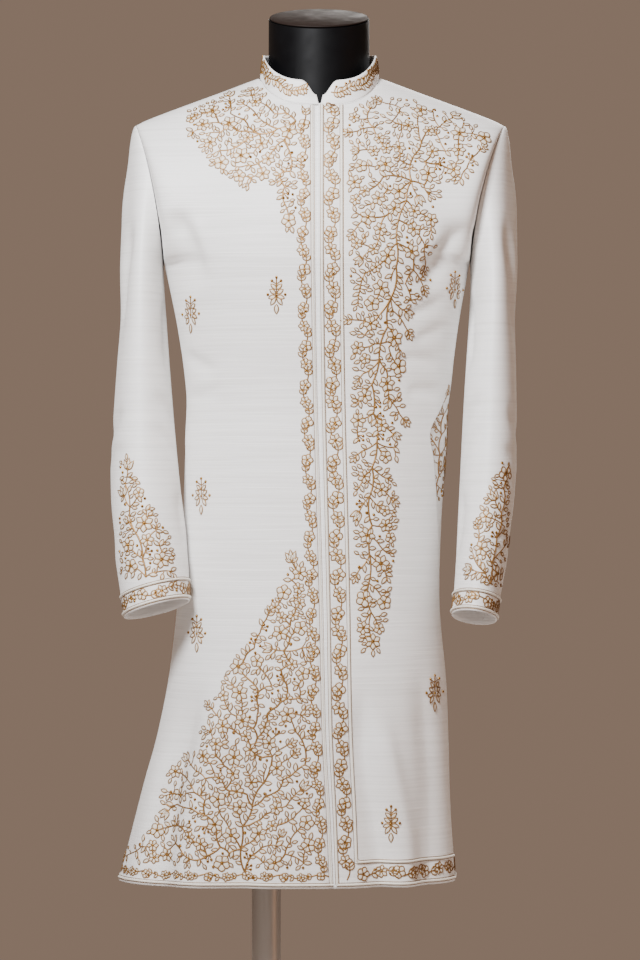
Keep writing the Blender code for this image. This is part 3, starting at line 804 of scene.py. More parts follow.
def sideways(points, normals, closed):
    # the direction across a thread at each of its points
    along = np.roll(points, -1, 0) - np.roll(points, 1, 0) if closed else np.gradient(points, axis=0)
    side = np.cross(normals, along)
    return side / np.maximum(np.linalg.norm(side, axis=1, keepdims=True), 1e-9)


class Needlework:
    # gathers the stitched pieces of one panel, then makes them one mesh
    def __init__(self, name):
        self.name = name
        self.points, self.uvs, self.quads, self.slots, self.count = [], [], [], [], 0

    def add(self, points, uvs, quads, slot):
        self.points.append(points)
        self.uvs.append(uvs)
        self.quads.append(quads + self.count)
        self.slots.append(np.full(len(quads), slot))
        self.count += len(points)

    def thread(self, centres, normals, radius, slot, closed=False, taper=0.0):
        # a half round thread lying on the cloth: its two feet and its top
        centres, normals = np.asarray(centres), np.asarray(normals)
        side, count = sideways(centres, normals, closed), len(centres)
        size = np.full((count, 1), radius)
        if taper:
            size *= np.linspace(1.0, 1.0 - taper, count)[:, None]
        top = centres + normals * size * motif["threadHeight"]
        rings = np.stack([centres - side * size, top, centres + side * size], axis=1)
        index = np.arange(count * 3).reshape(count, 3)
        if closed:
            index = np.concatenate([index, index[:1]])
        lengths = lengthsAlong(centres)
        uvs = np.stack([np.tile(np.linspace(0, 1, 3), count), np.repeat(lengths * 1000.0, 3)], axis=1)
        self.add(rings.reshape(-1, 3), uvs, gridQuads(index, True)[:, ::-1], slot)

    def leaf(self, place, foot, angle, length, width, shape="leafShape"):
        at, da, db, normal = place(*ahead(foot, angle, length / 2))
        up = da * sin(angle) + db * cos(angle)
        across = da * cos(angle) - db * sin(angle)
        base = at - up * length / 2 + normal * stitch["lift"]
        points, uvs, quads = fills[shape]
        body = (base + points[:, :1] * width * across + points[:, 1:2] * length * up
                + points[:, 2:] * stitch["dome"] * normal)
        self.add(body, uvs * (width * 1000.0, length * 1000.0), quads, 0)
        edge = outlines[shape]
        rim = base + edge[:, :1] * width * across + edge[:, 1:] * length * up
        self.thread(rim, np.repeat(normal[None], len(rim), 0), stitch["outline"], 1, closed=True)

    def bead(self, place, at, radius=None):
        radius = radius or stitch["bead"]
        centre, da, db, normal = place(*at)
        points, uvs, quads = fills["bead"]
        body = centre + radius * (points[:, :1] * da + points[:, 1:2] * db + points[:, 2:] * normal)
        self.add(body, uvs, quads, 2)

    def stem(self, place, line, radius, taper=0.0):
        found = [place(a, b) for a, b in line]
        self.thread([f[0] for f in found], [f[3] for f in found], radius, 1, taper=taper)

    def curl(self, place, foot, angle, size, hand):
        # a stem that winds in on a bead
        plan, line = motif["curl"], []
        centre = ahead(foot, angle, size * plan["reach"])
        for t in spread(0.0, 1.0, 15):
            line.append(ahead(centre, angle + hand * t * plan["turns"], -size * (1.0 - plan["close"] * t)))
        self.stem(place, line, stitch["stem"], plan["taper"])
        self.bead(place, centre, stitch["bead"] * plan["bead"])

    def flower(self, place, at, radius, petals=5, turn=0.0, shape="petalShape"):
        plan = motif["flower"]
        width = 2.0 * radius * sin(pi / petals) * motif["petalFill"][shape] * plan["petalWidth"]
        for k in range(petals):
            angle = turn + 2 * pi * k / petals
            petalFoot = ahead(at, angle, radius * plan["petalFoot"])
            self.leaf(place, petalFoot, angle, radius * plan["petalLength"], width, shape)
        heart = radius * plan["heart"]
        self.stem(place, [ahead(at, 2 * pi * k / 8, heart) for k in range(9)], stitch["stem"])
        self.bead(place, at, max(heart, stitch["bead"] * plan["bead"]))

    def tulip(self, place, foot, angle, length):
        plan = motif["tulip"]
        for turn, share in plan["petals"]:
            self.leaf(place, foot, angle + turn, length * share, length * plan["width"], "tulipShape")
        self.bead(place, foot, stitch["bead"] * plan["bead"])

    def twig(self, place, foot, angle, length):
        # a stalk with three berries
        for turn, share in motif["twig"]:
            tip = ahead(foot, angle + turn, length * share)
            halfway = ((foot[0] + tip[0]) / 2, (foot[1] + tip[1]) / 2)
            self.stem(place, [foot, halfway, tip], stitch["stem"] * stitch["stalk"])
            self.bead(place, tip)

    def spray(self, place, foot, angle, length, pairs=3, bend=0.0):
        # a stem with leaves in pairs and one at the end
        plan, spot, turn, line = motif["spray"], foot, angle, [foot]
        step = length / (pairs + 1)
        for k in range(pairs):
            turn += bend / pairs
            spot = ahead(spot, turn, step)
            line.append(spot)
            size = step * (plan["leaf"] - plan["smaller"] * k)
            for side in (-1, 1):
                leafFoot = ahead(spot, turn + side, 0.0006)
                self.leaf(place, leafFoot, turn + side * plan["turn"], size, size * plan["width"])
        self.stem(place, line, stitch["stem"])
        long, wide = plan["endLeaf"]
        self.leaf(place, ahead(spot, turn, 0.001), turn, step * long, step * wide)

    def finish(self, node=None):
        points = np.concatenate(self.points)
        quads = np.concatenate(self.quads)
        mesh = bpy.data.meshes.new(self.name)
        mesh.from_pydata(points.tolist(), [], quads.tolist())
        mesh.shade_smooth()
        uvs = np.concatenate(self.uvs)
        layer = mesh.uv_layers.new(name="thread")
        layer.data.foreach_set("uv", uvs[quads.ravel()].ravel())
        for name in ("satin", "gold", "beadGold", "cord"):
            mesh.materials.append(looks[name])
        mesh.polygons.foreach_set("material_index", np.concatenate(self.slots))
        mesh.validate()
        addPiece(self.name, mesh, node)
        print(self.name, len(quads) * 2, "triangles")


def surfacePlacer(name, keep):
    # finds the cloth under a point of the design seen from the front or the back
    grid, normal = cloth[name]["grid"], cloth[name]["normal"]
    cells = gridQuads(gridIndex(*grid.shape[:2], cloth[name]["closed"]))
    flatNormal = normal.reshape(-1, 3)
    good = [q for q in cells if keep(flatNormal[q[0]]) and keep(flatNormal[q[2]])]
    triangles = [(q[0], q[1], q[2]) for q in good] + [(q[0], q[2], q[3]) for q in good]
    solid = grid.reshape(-1, 3)
    flat = [(p[0], p[2], 0.0) for p in solid]
    tree = BVHTree.FromPolygons(flat, [tuple(int(v) for v in t) for t in triangles])
    corners = np.array(triangles)

    def place(a, b):
        spot, _, face, _ = tree.find_nearest(Vector((a, b, 0.0)))
        i, j, k = corners[face]
        x1, y1 = flat[j][0] - flat[i][0], flat[j][1] - flat[i][1]
        x2, y2 = flat[k][0] - flat[i][0], flat[k][1] - flat[i][1]
        dx, dy = spot.x - flat[i][0], spot.y - flat[i][1]
        area = x1 * y2 - x2 * y1
        v, w = (dx * y2 - x2 * dy) / area, (x1 * dy - dx * y1) / area
        at = solid[i] * (1 - v - w) + solid[j] * v + solid[k] * w
        out = flatNormal[i] * (1 - v - w) + flatNormal[j] * v + flatNormal[k] * w
        out = out / np.linalg.norm(out)
        da = np.array((1.0, 0.0, 0.0)) - out * out[0]
        da /= np.linalg.norm(da)
        db = np.cross(da, out)
        db = db if db[2] > 0 else -db
        return at, da, db, out

    return place


def linePlacer(points, normals):
    # a band of cloth along a line: the first measure is off to its left, the second along it
    points, normals = np.asarray(points), np.asarray(normals)
    lengths = lengthsAlong(points)
    along = np.gradient(points, axis=0)
    along /= np.linalg.norm(along, axis=1, keepdims=True)
    side = np.cross(along, normals)

    def place(a, b):
        b = min(max(b, 0.0), lengths[-1])
        pick = [np.interp(b, lengths, column) for column in (*points.T, *along.T, *side.T, *normals.T)]
        at, up, across, out = (np.array(pick[k:k + 3]) for k in (0, 3, 6, 9))
        return at + across * a, *(line / np.linalg.norm(line) for line in (across, up, out))

    return place, lengths[-1]


fills = {name: fillPrototype(stitch[name]) for name in ("leafShape", "petalShape", "tulipShape")}
fills["bead"] = beadPrototype()
outlines = {name: np.array(outlineOf(stitch[name])) for name in ("leafShape", "petalShape", "tulipShape")}


# The running vine of the borders: what it bears, and how far along each period
vine = {
    "period": 0.046,
    "bears": (("flower", 0.0), ("leaf", 0.0115), ("curl", 0.0135), ("leaf", 0.0165), ("star", 0.0235),
              ("leaf", 0.0330), ("curl", 0.0350), ("leaf", 0.0390), ("bead", 0.0425)),
    "wave": 0.42,
    "uneven": 0.0012,
    "endRoom": 0.004,
    "sample": 0.0025,
    "off": 0.12,
    "flowerSize": (0.80, 0.92),
    "petals": (5, 5, 4),
    "starSize": 1.02,
    "leafSize": (0.80, 0.98),
    "leafTurn": (0.55, 0.8),
    "leafWidth": 0.5,
    "curlTurn": 1.15,
    "curlSize": 0.33,
}


def borderVine(work, line, halfWidth, seed, start=0.0, repeats=None):
    dice = random.Random(seed)
    place, length = linePlacer(*line)
    period = length / repeats if repeats else vine["period"]
    wave = halfWidth * vine["wave"]
    samples = max(int(length / vine["sample"]), 8)

    def path(s):
        return wave * sin(2 * pi * s / period)

    work.stem(place, [(path(s), s) for s in spread(0.0, length, samples)], stitch["stem"])
    s, side = start, 1
    while s < length + period:
        for kind, further in vine["bears"]:
            b = s + further + dice.uniform(-vine["uneven"], vine["uneven"])
            if not vine["endRoom"] < b < length - vine["endRoom"]:
                continue
            a = path(b)
            big = halfWidth * dice.uniform(*vine["flowerSize"])
            off = side * halfWidth * vine["off"]
            if kind == "flower":
                work.flower(place, (off, b), big, dice.choice(vine["petals"]), dice.uniform(0, 1.2))
            elif kind == "star":
                work.flower(place, (-off, b), big * vine["starSize"], 6, dice.uniform(0, 1.0), "leafShape")
            elif kind == "leaf":
                for hand in (-1, 1):
                    size = halfWidth * dice.uniform(*vine["leafSize"])
                    turn = hand * dice.uniform(*vine["leafTurn"])
                    work.leaf(place, (a, b), turn, size, size * vine["leafWidth"])
            elif kind == "curl":
                hand = -1 if a > 0 else 1
                work.curl(place, (a, b), hand * vine["curlTurn"], halfWidth * vine["curlSize"], hand)
            else:
                work.bead(place, (-a, b))
        s += period
        side = -side


# The small sprig scattered over the plain cloth; leaves: off the stem, height, turn, length, width
sprigPlan = {
    "stem": (-0.004, 0.008, 0.0195),
    "topBead": 0.0215,
    "fork": (0.013, 0.0045, 0.0165),
    "beads": ((0.0055, 0.0175), (0.0105, 0.001)),
    "footLeaf": (-0.011, 0.0115, 0.0050),
    "leaves": (
        (0.0, 0.0075, 0.85, 0.0088, 0.0042),
        (0.001, 0.002, 0.97, 0.0085, 0.0044),
        (0.001, -0.001, 1.85, 0.0088, 0.0044),
        (0.001, -0.003, 2.55, 0.0105, 0.0046),
    ),
}


def sprig(work, place, a, b):
    work.stem(place, [(a, b + up) for up in sprigPlan["stem"]], stitch["stem"] * 0.9)
    work.bead(place, (a, b + sprigPlan["topBead"]))
    low, out, high = sprigPlan["fork"]
    for side in (-1, 1):
        work.stem(place, [(a, b + low), (a + side * out, b + high)], stitch["stem"] * stitch["stalk"])
        for off, up in sprigPlan["beads"]:
            work.bead(place, (a + side * off, b + up))
        for off, up, turn, length, width in sprigPlan["leaves"]:
            work.leaf(place, (a + side * off, b + up), side * turn, length, width)
    down, length, width = sprigPlan["footLeaf"]
    work.leaf(place, (a, b + down), pi, length, width)
    work.bead(place, (a, b), stitch["bead"] * 0.9)


# Cells to the metre and the margin round a worked area, then what a leaf needs and takes of its own size
roomPlan = {
    "cells": 1000,
    "margin": 0.02,
    "fill": 0.9,
    "leafSpots": (0.35, 0.6, 0.85),
    "leafNeeds": 0.42,
    "leafTakes": 0.45,
    "leafFoot": (0.15, 0.2),
}


class Room:
    # which parts of the design are already filled
    def __init__(self, outline):
        self.outline = np.array(outline)
        self.low = self.outline.min(0) - roomPlan["margin"]
        size = ((self.outline.max(0) + roomPlan["margin"] - self.low) * roomPlan["cells"]).astype(int) + 1
        lines = (self.low[k] + np.arange(size[k]) / roomPlan["cells"] for k in (0, 1))
        aa, bb = np.meshgrid(*lines, indexing="ij")
        self.inside = np.zeros(size, dtype=bool)
        for (x1, y1), (x2, y2) in zip(self.outline, np.roll(self.outline, -1, 0)):
            crosses = (y1 > bb) != (y2 > bb)
            self.inside ^= crosses & (aa < (x2 - x1) * (bb - y1) / (y2 - y1 if y2 != y1 else 1e-9) + x1)
        self.busy = ~self.inside

    def cell(self, a, b):
        return int((a - self.low[0]) * roomPlan["cells"]), int((b - self.low[1]) * roomPlan["cells"])

    def window(self, a, b, radius):
        i, j = self.cell(a, b)
        r = max(int(radius * roomPlan["cells"] + 0.5), 1)
        return slice(max(i - r, 0), i + r + 1), slice(max(j - r, 0), j + r + 1)

    def free(self, a, b, radius, allowed=0.05):
        cells = self.busy[self.window(a, b, radius)]
        return cells.size > 0 and cells.mean() <= allowed

    def holds(self, a, b):
        i, j = self.cell(a, b)
        return 0 <= i < self.inside.shape[0] and 0 <= j < self.inside.shape[1] and self.inside[i, j]

    def fill(self, a, b, radius):
        self.busy[self.window(a, b, radius * roomPlan["fill"])] = True


def freeLeaf(work, place, room, foot, angle, length, width, allowed=0.26):
    # sews the leaf only where there is room for it
    spots = [ahead(foot, angle, length * t) for t in roomPlan["leafSpots"]]
    if not all(room.free(*spot, width * roomPlan["leafNeeds"], allowed) for spot in spots):
        return False
    for spot in spots:
        room.fill(*spot, width * roomPlan["leafTakes"])
    along, share = roomPlan["leafFoot"]
    room.fill(*ahead(foot, angle, length * along), width * share)
    work.leaf(place, foot, angle, length, width)
    return True


# Branches, flowers, leaves and berries that fill a worked area
garden = {
    "tries": 5000,
    "backward": 0.008,
    "bow": (0.08, 0.20),
    "joint": (1.2, 2),
    "mainWeight": 7,
    "gapTries": 12000,
    "edgeRoom": 0.0065,
    "stray": (0.85, 1.15),
    "flowerShare": 0.55,
    "flowerRadius": (0.0082, 0.0112),
    "smallFlower": 0.0072,
    "leafStep": 0.0046,
    "leafLength": (0.0078, 0.0106),
    "gapLeaf": (0.0056, 0.0088),
    "gapReach": 0.016,
    "gapBead": 0.10,
    "tulipShare": 0.22,
    "sprayShare": 0.50,
    "starShare": 0.62,
    "spray": (0.017, 2),
    "leafTurn": (0.62, 0.98),
    "leafWidth": 0.47,
    "curlShare": 0.12,
    "twigShare": 0.10,
    "curlSize": 0.0028,
    "twigLength": 0.0085,
    "tulipLength": 1.45,
    "taken": {"tulip": 0.75, "star": 0.86, "flower": 0.84, "spray": 0.008, "curl": 0.0042, "bead": 0.0026},
}


def growBranches(room, trunk, spacing, dice):
    # points strewn evenly over the area, each joined to the nearest one that is nearer the root
    nodes, parents = list(trunk), [None] + list(range(len(trunk) - 1))
    low, high = room.outline.min(0), room.outline.max(0)
    strewn = []
    for _ in range(garden["tries"]):
        p = (dice.uniform(low[0], high[0]), dice.uniform(low[1], high[1]))
        if not room.holds(*p) or not room.free(*p, garden["edgeRoom"], 0.02):
            continue
        gap = spacing * dice.uniform(*garden["stray"])
        if all(apart(p, q) > gap for q in strewn + nodes):
            strewn.append(p)
    strewn.sort(key=lambda p: min(apart(p, q) for q in trunk))
    root = nodes[0]
    for p in strewn:
        reach = apart(p, root)
        far = [apart(p, q) + max(apart(q, root) - reach + garden["backward"], 0.0) for q in nodes]
        parents.append(far.index(min(far)))
        nodes.append(p)
    return nodes, parents


def sewBranches(work, place, room, nodes, parents, dice):
    # each branch bows a little; those that carry more are thicker
    weight = [1] * len(nodes)
    for k in range(len(nodes) - 1, 0, -1):
        weight[parents[k]] += weight[k]
    stems = []
    for k in range(1, len(nodes)):
        (pa, pb), (qa, qb) = nodes[parents[k]], nodes[k]
        length = hypot(qa - pa, qb - pb)
        bow = dice.uniform(*garden["bow"]) * dice.choice((-1, 1)) * length
        ma, mb = (pa + qa) / 2 - (qb - pb) / length * bow, (pb + qb) / 2 + (qa - pa) / length * bow
        line = [((1 - t) ** 2 * pa + 2 * t * (1 - t) * ma + t * t * qa,
                 (1 - t) ** 2 * pb + 2 * t * (1 - t) * mb + t * t * qb)
                for t in spread(0.0, 1.0, max(int(length / 0.003), 3))]
        stems.append(line)
        thicker, carried = garden["joint"]
        thin = stitch["stem"] * (thicker if weight[k] > carried else 1.0)
        work.stem(place, line, stitch["mainStem"] if weight[k] > garden["mainWeight"] else thin)
        for a, b in line:
            room.busy[room.window(a, b, 0.0004)] = True
    return stems


def sewHeads(work, place, room, nodes, parents, trunkCount, dense, dice):
    # a flower, tulip or spray at the end of each branch, and flowers at some of the joints
    heads, taken = [], garden["taken"]
    for k in range(1, len(nodes)):
        a, b = nodes[k]
        before = nodes[parents[k]]
        angle = atan2(a - before[0], b - before[1])
        ended = k not in parents
        pick = dice.random()
        if not ended and (pick >= garden["flowerShare"] * dense or k < trunkCount):
            continue
        radius = dice.uniform(*garden["flowerRadius"])
        if any(apart((a, b), head) < radius + head[2] for head in heads):
            radius = garden["smallFlower"]
        if any(apart((a, b), head) < radius + head[2] for head in heads):
            continue
        heads.append((a, b, radius))
        if ended and pick < garden["tulipShare"]:
            work.tulip(place, (a, b), angle, radius * garden["tulipLength"])
            room.fill(*ahead((a, b), angle, radius * 0.6), radius * taken["tulip"])
        elif ended and pick < garden["sprayShare"]:
            work.spray(place, (a, b), angle, *garden["spray"], dice.uniform(-0.4, 0.4))
            room.fill(*ahead((a, b), angle, 0.009), taken["spray"])
        elif pick < garden["starShare"]:
            work.flower(place, (a, b), radius, 6, dice.uniform(0, 1.0), "leafShape")
            room.fill(a, b, radius * taken["star"])
        else:
            work.flower(place, (a, b), radius * 0.92, 5, dice.uniform(0, 1.2))
            room.fill(a, b, radius * taken["flower"])


def sewLeaves(work, place, room, stems, dice):
    # leaves to left and right in turn, with a curl or a twig of berries now and then
    for line in stems:
        walked, side = 0.0, dice.choice((-1, 1))
        for p, q in zip(line, line[1:]):
            walked += apart(q, p)
            if walked < garden["leafStep"] / 2:
                continue
            walked = 0.0
            size = dice.uniform(*garden["leafLength"])
            turn = atan2(q[0] - p[0], q[1] - p[1]) + side * dice.uniform(*garden["leafTurn"])
            if dice.random() < garden["curlShare"] and room.free(*ahead(q, turn, 0.006), 0.0032):
                work.curl(place, q, turn, garden["curlSize"], side)
                room.fill(*ahead(q, turn, 0.004), garden["taken"]["curl"])
            elif dice.random() < garden["twigShare"] and room.free(*ahead(q, turn, 0.008), 0.0035):
                work.twig(place, q, turn, garden["twigLength"])
                room.fill(*ahead(q, turn, 0.007), garden["taken"]["curl"])
            elif not freeLeaf(work, place, room, q, turn, size, size * garden["leafWidth"]):
                freeLeaf(work, place, room, q, turn, size * 0.7, size * 0.36)
            side = -side


def fillGaps(work, place, room, stems, dense, dice):
    # more leaves and beads wherever cloth is still bare
    low, high = room.outline.min(0), room.outline.max(0)
    joints = [p for line in stems for p in line[::2]]
    for _ in range(int(garden["gapTries"] * dense)):
        a, b = dice.uniform(low[0], high[0]), dice.uniform(low[1], high[1])
        if not room.holds(a, b) or not room.free(a, b, 0.0021, 0.0):
            continue
        near = min(joints, key=lambda p: apart(p, (a, b)))
        away = apart((a, b), near)
        if away > garden["gapReach"]:
            continue
        angle = atan2(a - near[0], b - near[1])
        size = dice.uniform(*garden["gapLeaf"])
        foot = ahead((a, b), angle, -size / 2)
        if dice.random() < garden["gapBead"]:
            work.bead(place, (a, b))
            room.fill(a, b, garden["taken"]["bead"])
        elif freeLeaf(work, place, room, foot, angle, size, size * 0.50, allowed=0.3) and away > size * 0.6:
            halfway = ((near[0] + foot[0]) / 2 + 0.0006, (near[1] + foot[1]) / 2)
            work.stem(place, [near, halfway, foot], stitch["stem"] * stitch["stalk"])


def gardenFill(work, place, plan):
    dice = random.Random(plan["seed"])
    room = Room(metres(plan["outline"]))
    trunk = metres(plan["trunk"])
    dense = plan.get("dense", 1.0)
    nodes, parents = growBranches(room, trunk, plan["spacing"], dice)
    stems = sewBranches(work, place, room, nodes, parents, dice)
    sewHeads(work, place, room, nodes, parents, len(trunk), dense, dice)
    sewLeaves(work, place, room, stems, dice)
    fillGaps(work, place, room, stems, dense, dice)


# Piping: cream cord between two gold lines, along the edges
piping = {
    "edgeIn": 0.0047,
    "borderIn": 0.0284,
    "hemUp": 0.0046,
    "hemBandUp": 0.0312,
    "goldGap": 0.0021,
    "cuffUp": 0.0042,
    "cuffBand": 0.0250,
    "edgeLow": 0.003,
    "cornerGap": 0.001,
    "cordUp": 0.85,
    "threadUp": 0.0001,
}


def upLine(name, fromEdge, low, side=1):
    # a line that runs up a front at a distance from the left front's edge, above a lowest height
    grid, normal = cloth[name]["grid"], cloth[name]["normal"]
    points, normals = [], []
    for k in range(grid.shape[0]):
        distance = fromEdge(grid[k, :, 2].mean()) if callable(fromEdge) else fromEdge
        target = section(round(min(float(grid[k, 4, 2]), cut["chest"]), 4))["edge"] + side * distance
        row = grid[k, :, 0] * side
        j = int(np.clip(np.searchsorted(row, target * side), 1, len(row) - 1))
        t = np.clip((target * side - row[j - 1]) / (row[j] - row[j - 1]), 0, 1)
        p = grid[k, j - 1] * (1 - t) + grid[k, j] * t
        if p[2] >= cut["hem"] + low:
            points.append(p)
            normals.append(normal[k, j - 1] * (1 - t) + normal[k, j] * t)
    return np.array(points), np.array(normals)


def aboveLine(name, above, columns=slice(None), fromTop=False):
    # a line round a piece at a fixed distance from its lower edge
    grid, normal = cloth[name]["grid"], cloth[name]["normal"]
    if fromTop:
        grid, normal = grid[::-1], normal[::-1]
    points, normals = [], []
    for c in range(grid.shape[1])[columns]:
        lengths = lengthsAlong(grid[:, c])
        points.append([np.interp(above, lengths, grid[:, c, axis]) for axis in range(3)])
        normals.append([np.interp(above, lengths, normal[:, c, axis]) for axis in range(3)])
    return np.array(points), np.array(normals)


def roundCord(work, points, normals, radius, slot, closed=False):
    # a whole round cord resting on the cloth
    side = sideways(points, normals, closed)
    middle = points + normals * radius * piping["cordUp"]
    rings = np.stack([middle + radius * (cos(2 * pi * k / 8) * side + sin(2 * pi * k / 8) * normals)
                      for k in range(8)], axis=1)
    count = len(points)
    index = gridIndex(count, 8, True)
    if closed:
        index = np.concatenate([index, index[:1]])
    quads = gridQuads(index, True)
    uvs = np.stack([np.tile(np.arange(8) / 8 * 3, count), np.repeat(lengthsAlong(points) * 1000, 8)], axis=1)
    if not closed:
        last = count * 8
        quads = np.concatenate([quads, [[0, 2, 4, 6]], [[last - 2, last - 4, last - 6, last - 8]]])
    work.add(rings.reshape(-1, 3), uvs, quads, slot)


def pipedEdge(name, node, lines, closed=False):
    # the cord lies on the first line and gold threads on the others
    work = Needlework(name)
    roundCord(work, *lines[0], stitch["cord"], 3, closed)
    for points, normals in lines[1:]:
        work.thread(points + normals * piping["threadUp"], normals, stitch["line"], 1, closed)
    work.finish(node)


def threeLines(lineAt, measure):
    # the cord's line and the gold line on each side of it
    return [lineAt(measure + shift) for shift in (0.0, -piping["goldGap"], piping["goldGap"])]


def cornered(shift):
    # down the inner border, round the corner and along above the hem
    up = piping["hemBandUp"] + shift
    points, normals = upLine("frontLeft", piping["borderIn"] + shift, up)
    level, levelNormals = aboveLine("frontLeft", up)
    keep = level[:, 0] > points[0, 0] + piping["cornerGap"]
    return np.concatenate([points[::-1], level[keep]]), np.concatenate([normals[::-1], levelNormals[keep]])


def edgeLine(inward):
    return upLine("frontLeft", inward, piping["edgeLow"])


pipedEdge("edgePiping", "edge_piping_left", threeLines(edgeLine, piping["edgeIn"]))
pipedEdge("borderPiping", "border_piping_left", threeLines(cornered, 0.0))
for name, title, node, columns in (
    ("frontLeft", "hemPipingLeft", "hem_piping_left", slice(1, None)),
    ("frontRight", "hemPipingRight", "hem_piping_right", slice(4, None)),
    ("back", "hemPipingBack", "hem_piping_back", slice(1, -1)),
):
    pipedEdge(title, node, threeLines(lambda up: aboveLine(name, up, columns), piping["hemUp"]))
for name, end in (("sleeveRight", "right"), ("sleeveLeft", "left")):
    for what, up in (("edge", piping["cuffUp"]), ("top", piping["cuffBand"])):
        lines = threeLines(lambda up: aboveLine(name, up, fromTop=True), up)
        pipedEdge(name + what.title() + "Piping", "cuff_piping_" + what + "_" + end, lines, True)
print("piping laid")

# Where the needlework lies on each piece. Outlines, trunks and sprigs are in millimetres across and up
frontRightWork = {
    "yoke": {
        "outline": ((-20, 1452), (-50, 1466), (-66, 1492), (-110, 1478), (-160, 1458), (-157, 1425),
                    (-137, 1401), (-125, 1380), (-103, 1368), (-82, 1351), (-62, 1368), (-49, 1355),
                    (-36, 1303), (-20, 1298)),
        "trunk": ((-22, 1440), (-44, 1430), (-66, 1424), (-92, 1428), (-116, 1440)),
        "seed": 11, "spacing": 0.0142,
    },
    "skirt": {
        "outline": ((-24, 912), (-62, 846), (-94, 795), (-125, 740), (-148, 678), (-178, 658),
                    (-190, 619), (-208, 573), (-236, 552), (-237, 535.5), (1, 535.5), (-3, 700),
                    (-8, 912)),
        "trunk": ((-83, 532), (-88, 560), (-86, 588), (-74, 612), (-60, 640), (-50, 672)),
        "seed": 23, "spacing": 0.0142,
    },
    "tip": {
        "stem": ((-0.018, 0.893), (-0.0225, 0.8985), (-0.0262, 0.906)),
        "leafTurns": (0.95, -1.20),
        "leaf": (0.0085, 0.0042),
        "tulip": ((-0.0265, 0.907), -0.15, 0.014),
    },
    "sprigs": ((-45, 1227), (-137, 985), (-142, 818), (-150, 1206)),
    "edge": {"hem": 0.0050, "neck": 0.0094, "neckHeight": 1.45, "lines": (0.0, -0.0044), "cord": -0.0022,
             "cordRadius": 0.0010},
    "vine": {"off": 0.0088, "low": 0.010, "halfWidth": 0.0078, "seed": 31},
    "hem": {"up": 0.0145, "columns": slice(8, None), "halfWidth": 0.0062, "seed": 37, "start": 0.01},
}
frontLeftWork = {
    "front": {
        "outline": ((68, 1472), (80, 1488), (134, 1468), (185, 1450), (222, 1430), (205, 1395),
                    (188, 1359), (159, 1362), (152, 1335), (149, 1262), (135, 1221), (125, 1218),
                    (111, 1167), (113, 1062), (99, 1017), (104, 978), (94, 858), (77, 779), (50, 800),
                    (45, 1005), (42, 1221), (40, 1450)),
        "trunk": ((118, 1366), (112, 1342), (102, 1318), (100, 1290), (99, 1262), (93, 1225), (89, 1190),
                  (79, 1150), (70, 1120), (72, 1085), (76, 1050), (70, 1020), (67, 985), (70, 950),
                  (67, 915), (66, 880), (69, 845), (71, 810)),
        "seed": 47, "spacing": 0.0146,
    },
    "sprigs": ((147, 745), (93, 590), (172, 1237)),
    "vine": {"low": 0.010, "halfWidth": 0.0094, "seed": 53},
    "hem": {"clear": 0.012, "halfWidth": 0.0094, "seed": 59, "start": 0.008},
}
backWork = {
    "yoke": {
        "outline": ((-150, 1455), (-80, 1488), (-66, 1440), (-30, 1410), (7, 1385), (44, 1410),
                    (80, 1440), (94, 1488), (165, 1455), (120, 1415), (60, 1375), (7, 1345), (-46, 1375),
                    (-106, 1415)),
        "trunk": ((7, 1366), (-20, 1376), (-50, 1396), (-80, 1420), (-105, 1440)),
        "seed": 67, "spacing": 0.020,
    },
    "leftSide": {
        "outline": ((127, 1040), (131, 1075), (146, 1108), (160, 1132), (168, 1125), (170, 1040),
                    (166, 985), (145, 972), (134, 1000)),
        "trunk": ((150, 985), (153, 1010), (154, 1035), (156, 1060), (159, 1085)),
        "seed": 97, "spacing": 0.013, "dense": 0.8,
    },
    "sprigs": ((-110, 1230), (0, 1300), (118, 1232), (-62, 1130), (75, 1120), (0, 1010), (-108, 960),
               (110, 955), (-50, 860), (60, 850), (-125, 740), (5, 740), (130, 735), (-70, 625),
               (70, 620)),
    "hem": {"up": 0.0180, "columns": slice(3, -3), "halfWidth": 0.0094, "seed": 61, "start": 0.01},
}
sleeveWork = {
    "sleeveRight": {
        "outline": ((-236, 884), (-238, 945), (-236, 1032), (-226, 1040), (-210, 1005), (-198, 980),
                    (-184, 956), (-170, 932), (-162, 884)),
        "trunk": ((-202, 888), (-206, 910), (-214, 940), (-222, 972), (-228, 1000)),
        "seed": 79, "spacing": 0.0155, "cuffSeed": 71,
        "sprigs": ((-205, 955),),
    },
    "sleeveLeft": {
        "outline": ((238, 1026), (240, 950), (228, 872), (178, 884), (183, 908), (201, 980), (224, 1030)),
        "trunk": ((212, 880), (214, 905), (220, 935), (226, 965), (229, 995)),
        "seed": 83, "spacing": 0.0155, "cuffSeed": 73,
        "sprigs": ((205, 955),),
    },
}
cuffVine = {"halfWidth": 0.0082, "repeats": 5}
collarWork = {
    "up": 0.0170,
    "ends": slice(4, -4),
    "wave": 0.0022,
    "waves": 160,
    "stemEnds": 0.004,
    "step": 0.0034,
    "endRoom": 0.008,
    "seed": 89,
    "leaf": (0.0072, 0.0095),
    "leafTurn": (0.75, 1.15),
    "otherTurn": (0.9, 1.2),
    "leafWidth": (0.48, 0.40),
    "smaller": 0.8,
    "berryStem": (0.004, 0.0008),
    "berry": (0.0075, 0.0028),
}


def scatter(work, place, sprigs):
    for a, b in metres(sprigs):
        sprig(work, place, a, b)


def sewHem(work, name, plan):
    line = aboveLine(name, plan["up"], plan["columns"])
    borderVine(work, line, plan["halfWidth"], plan["seed"], plan["start"])


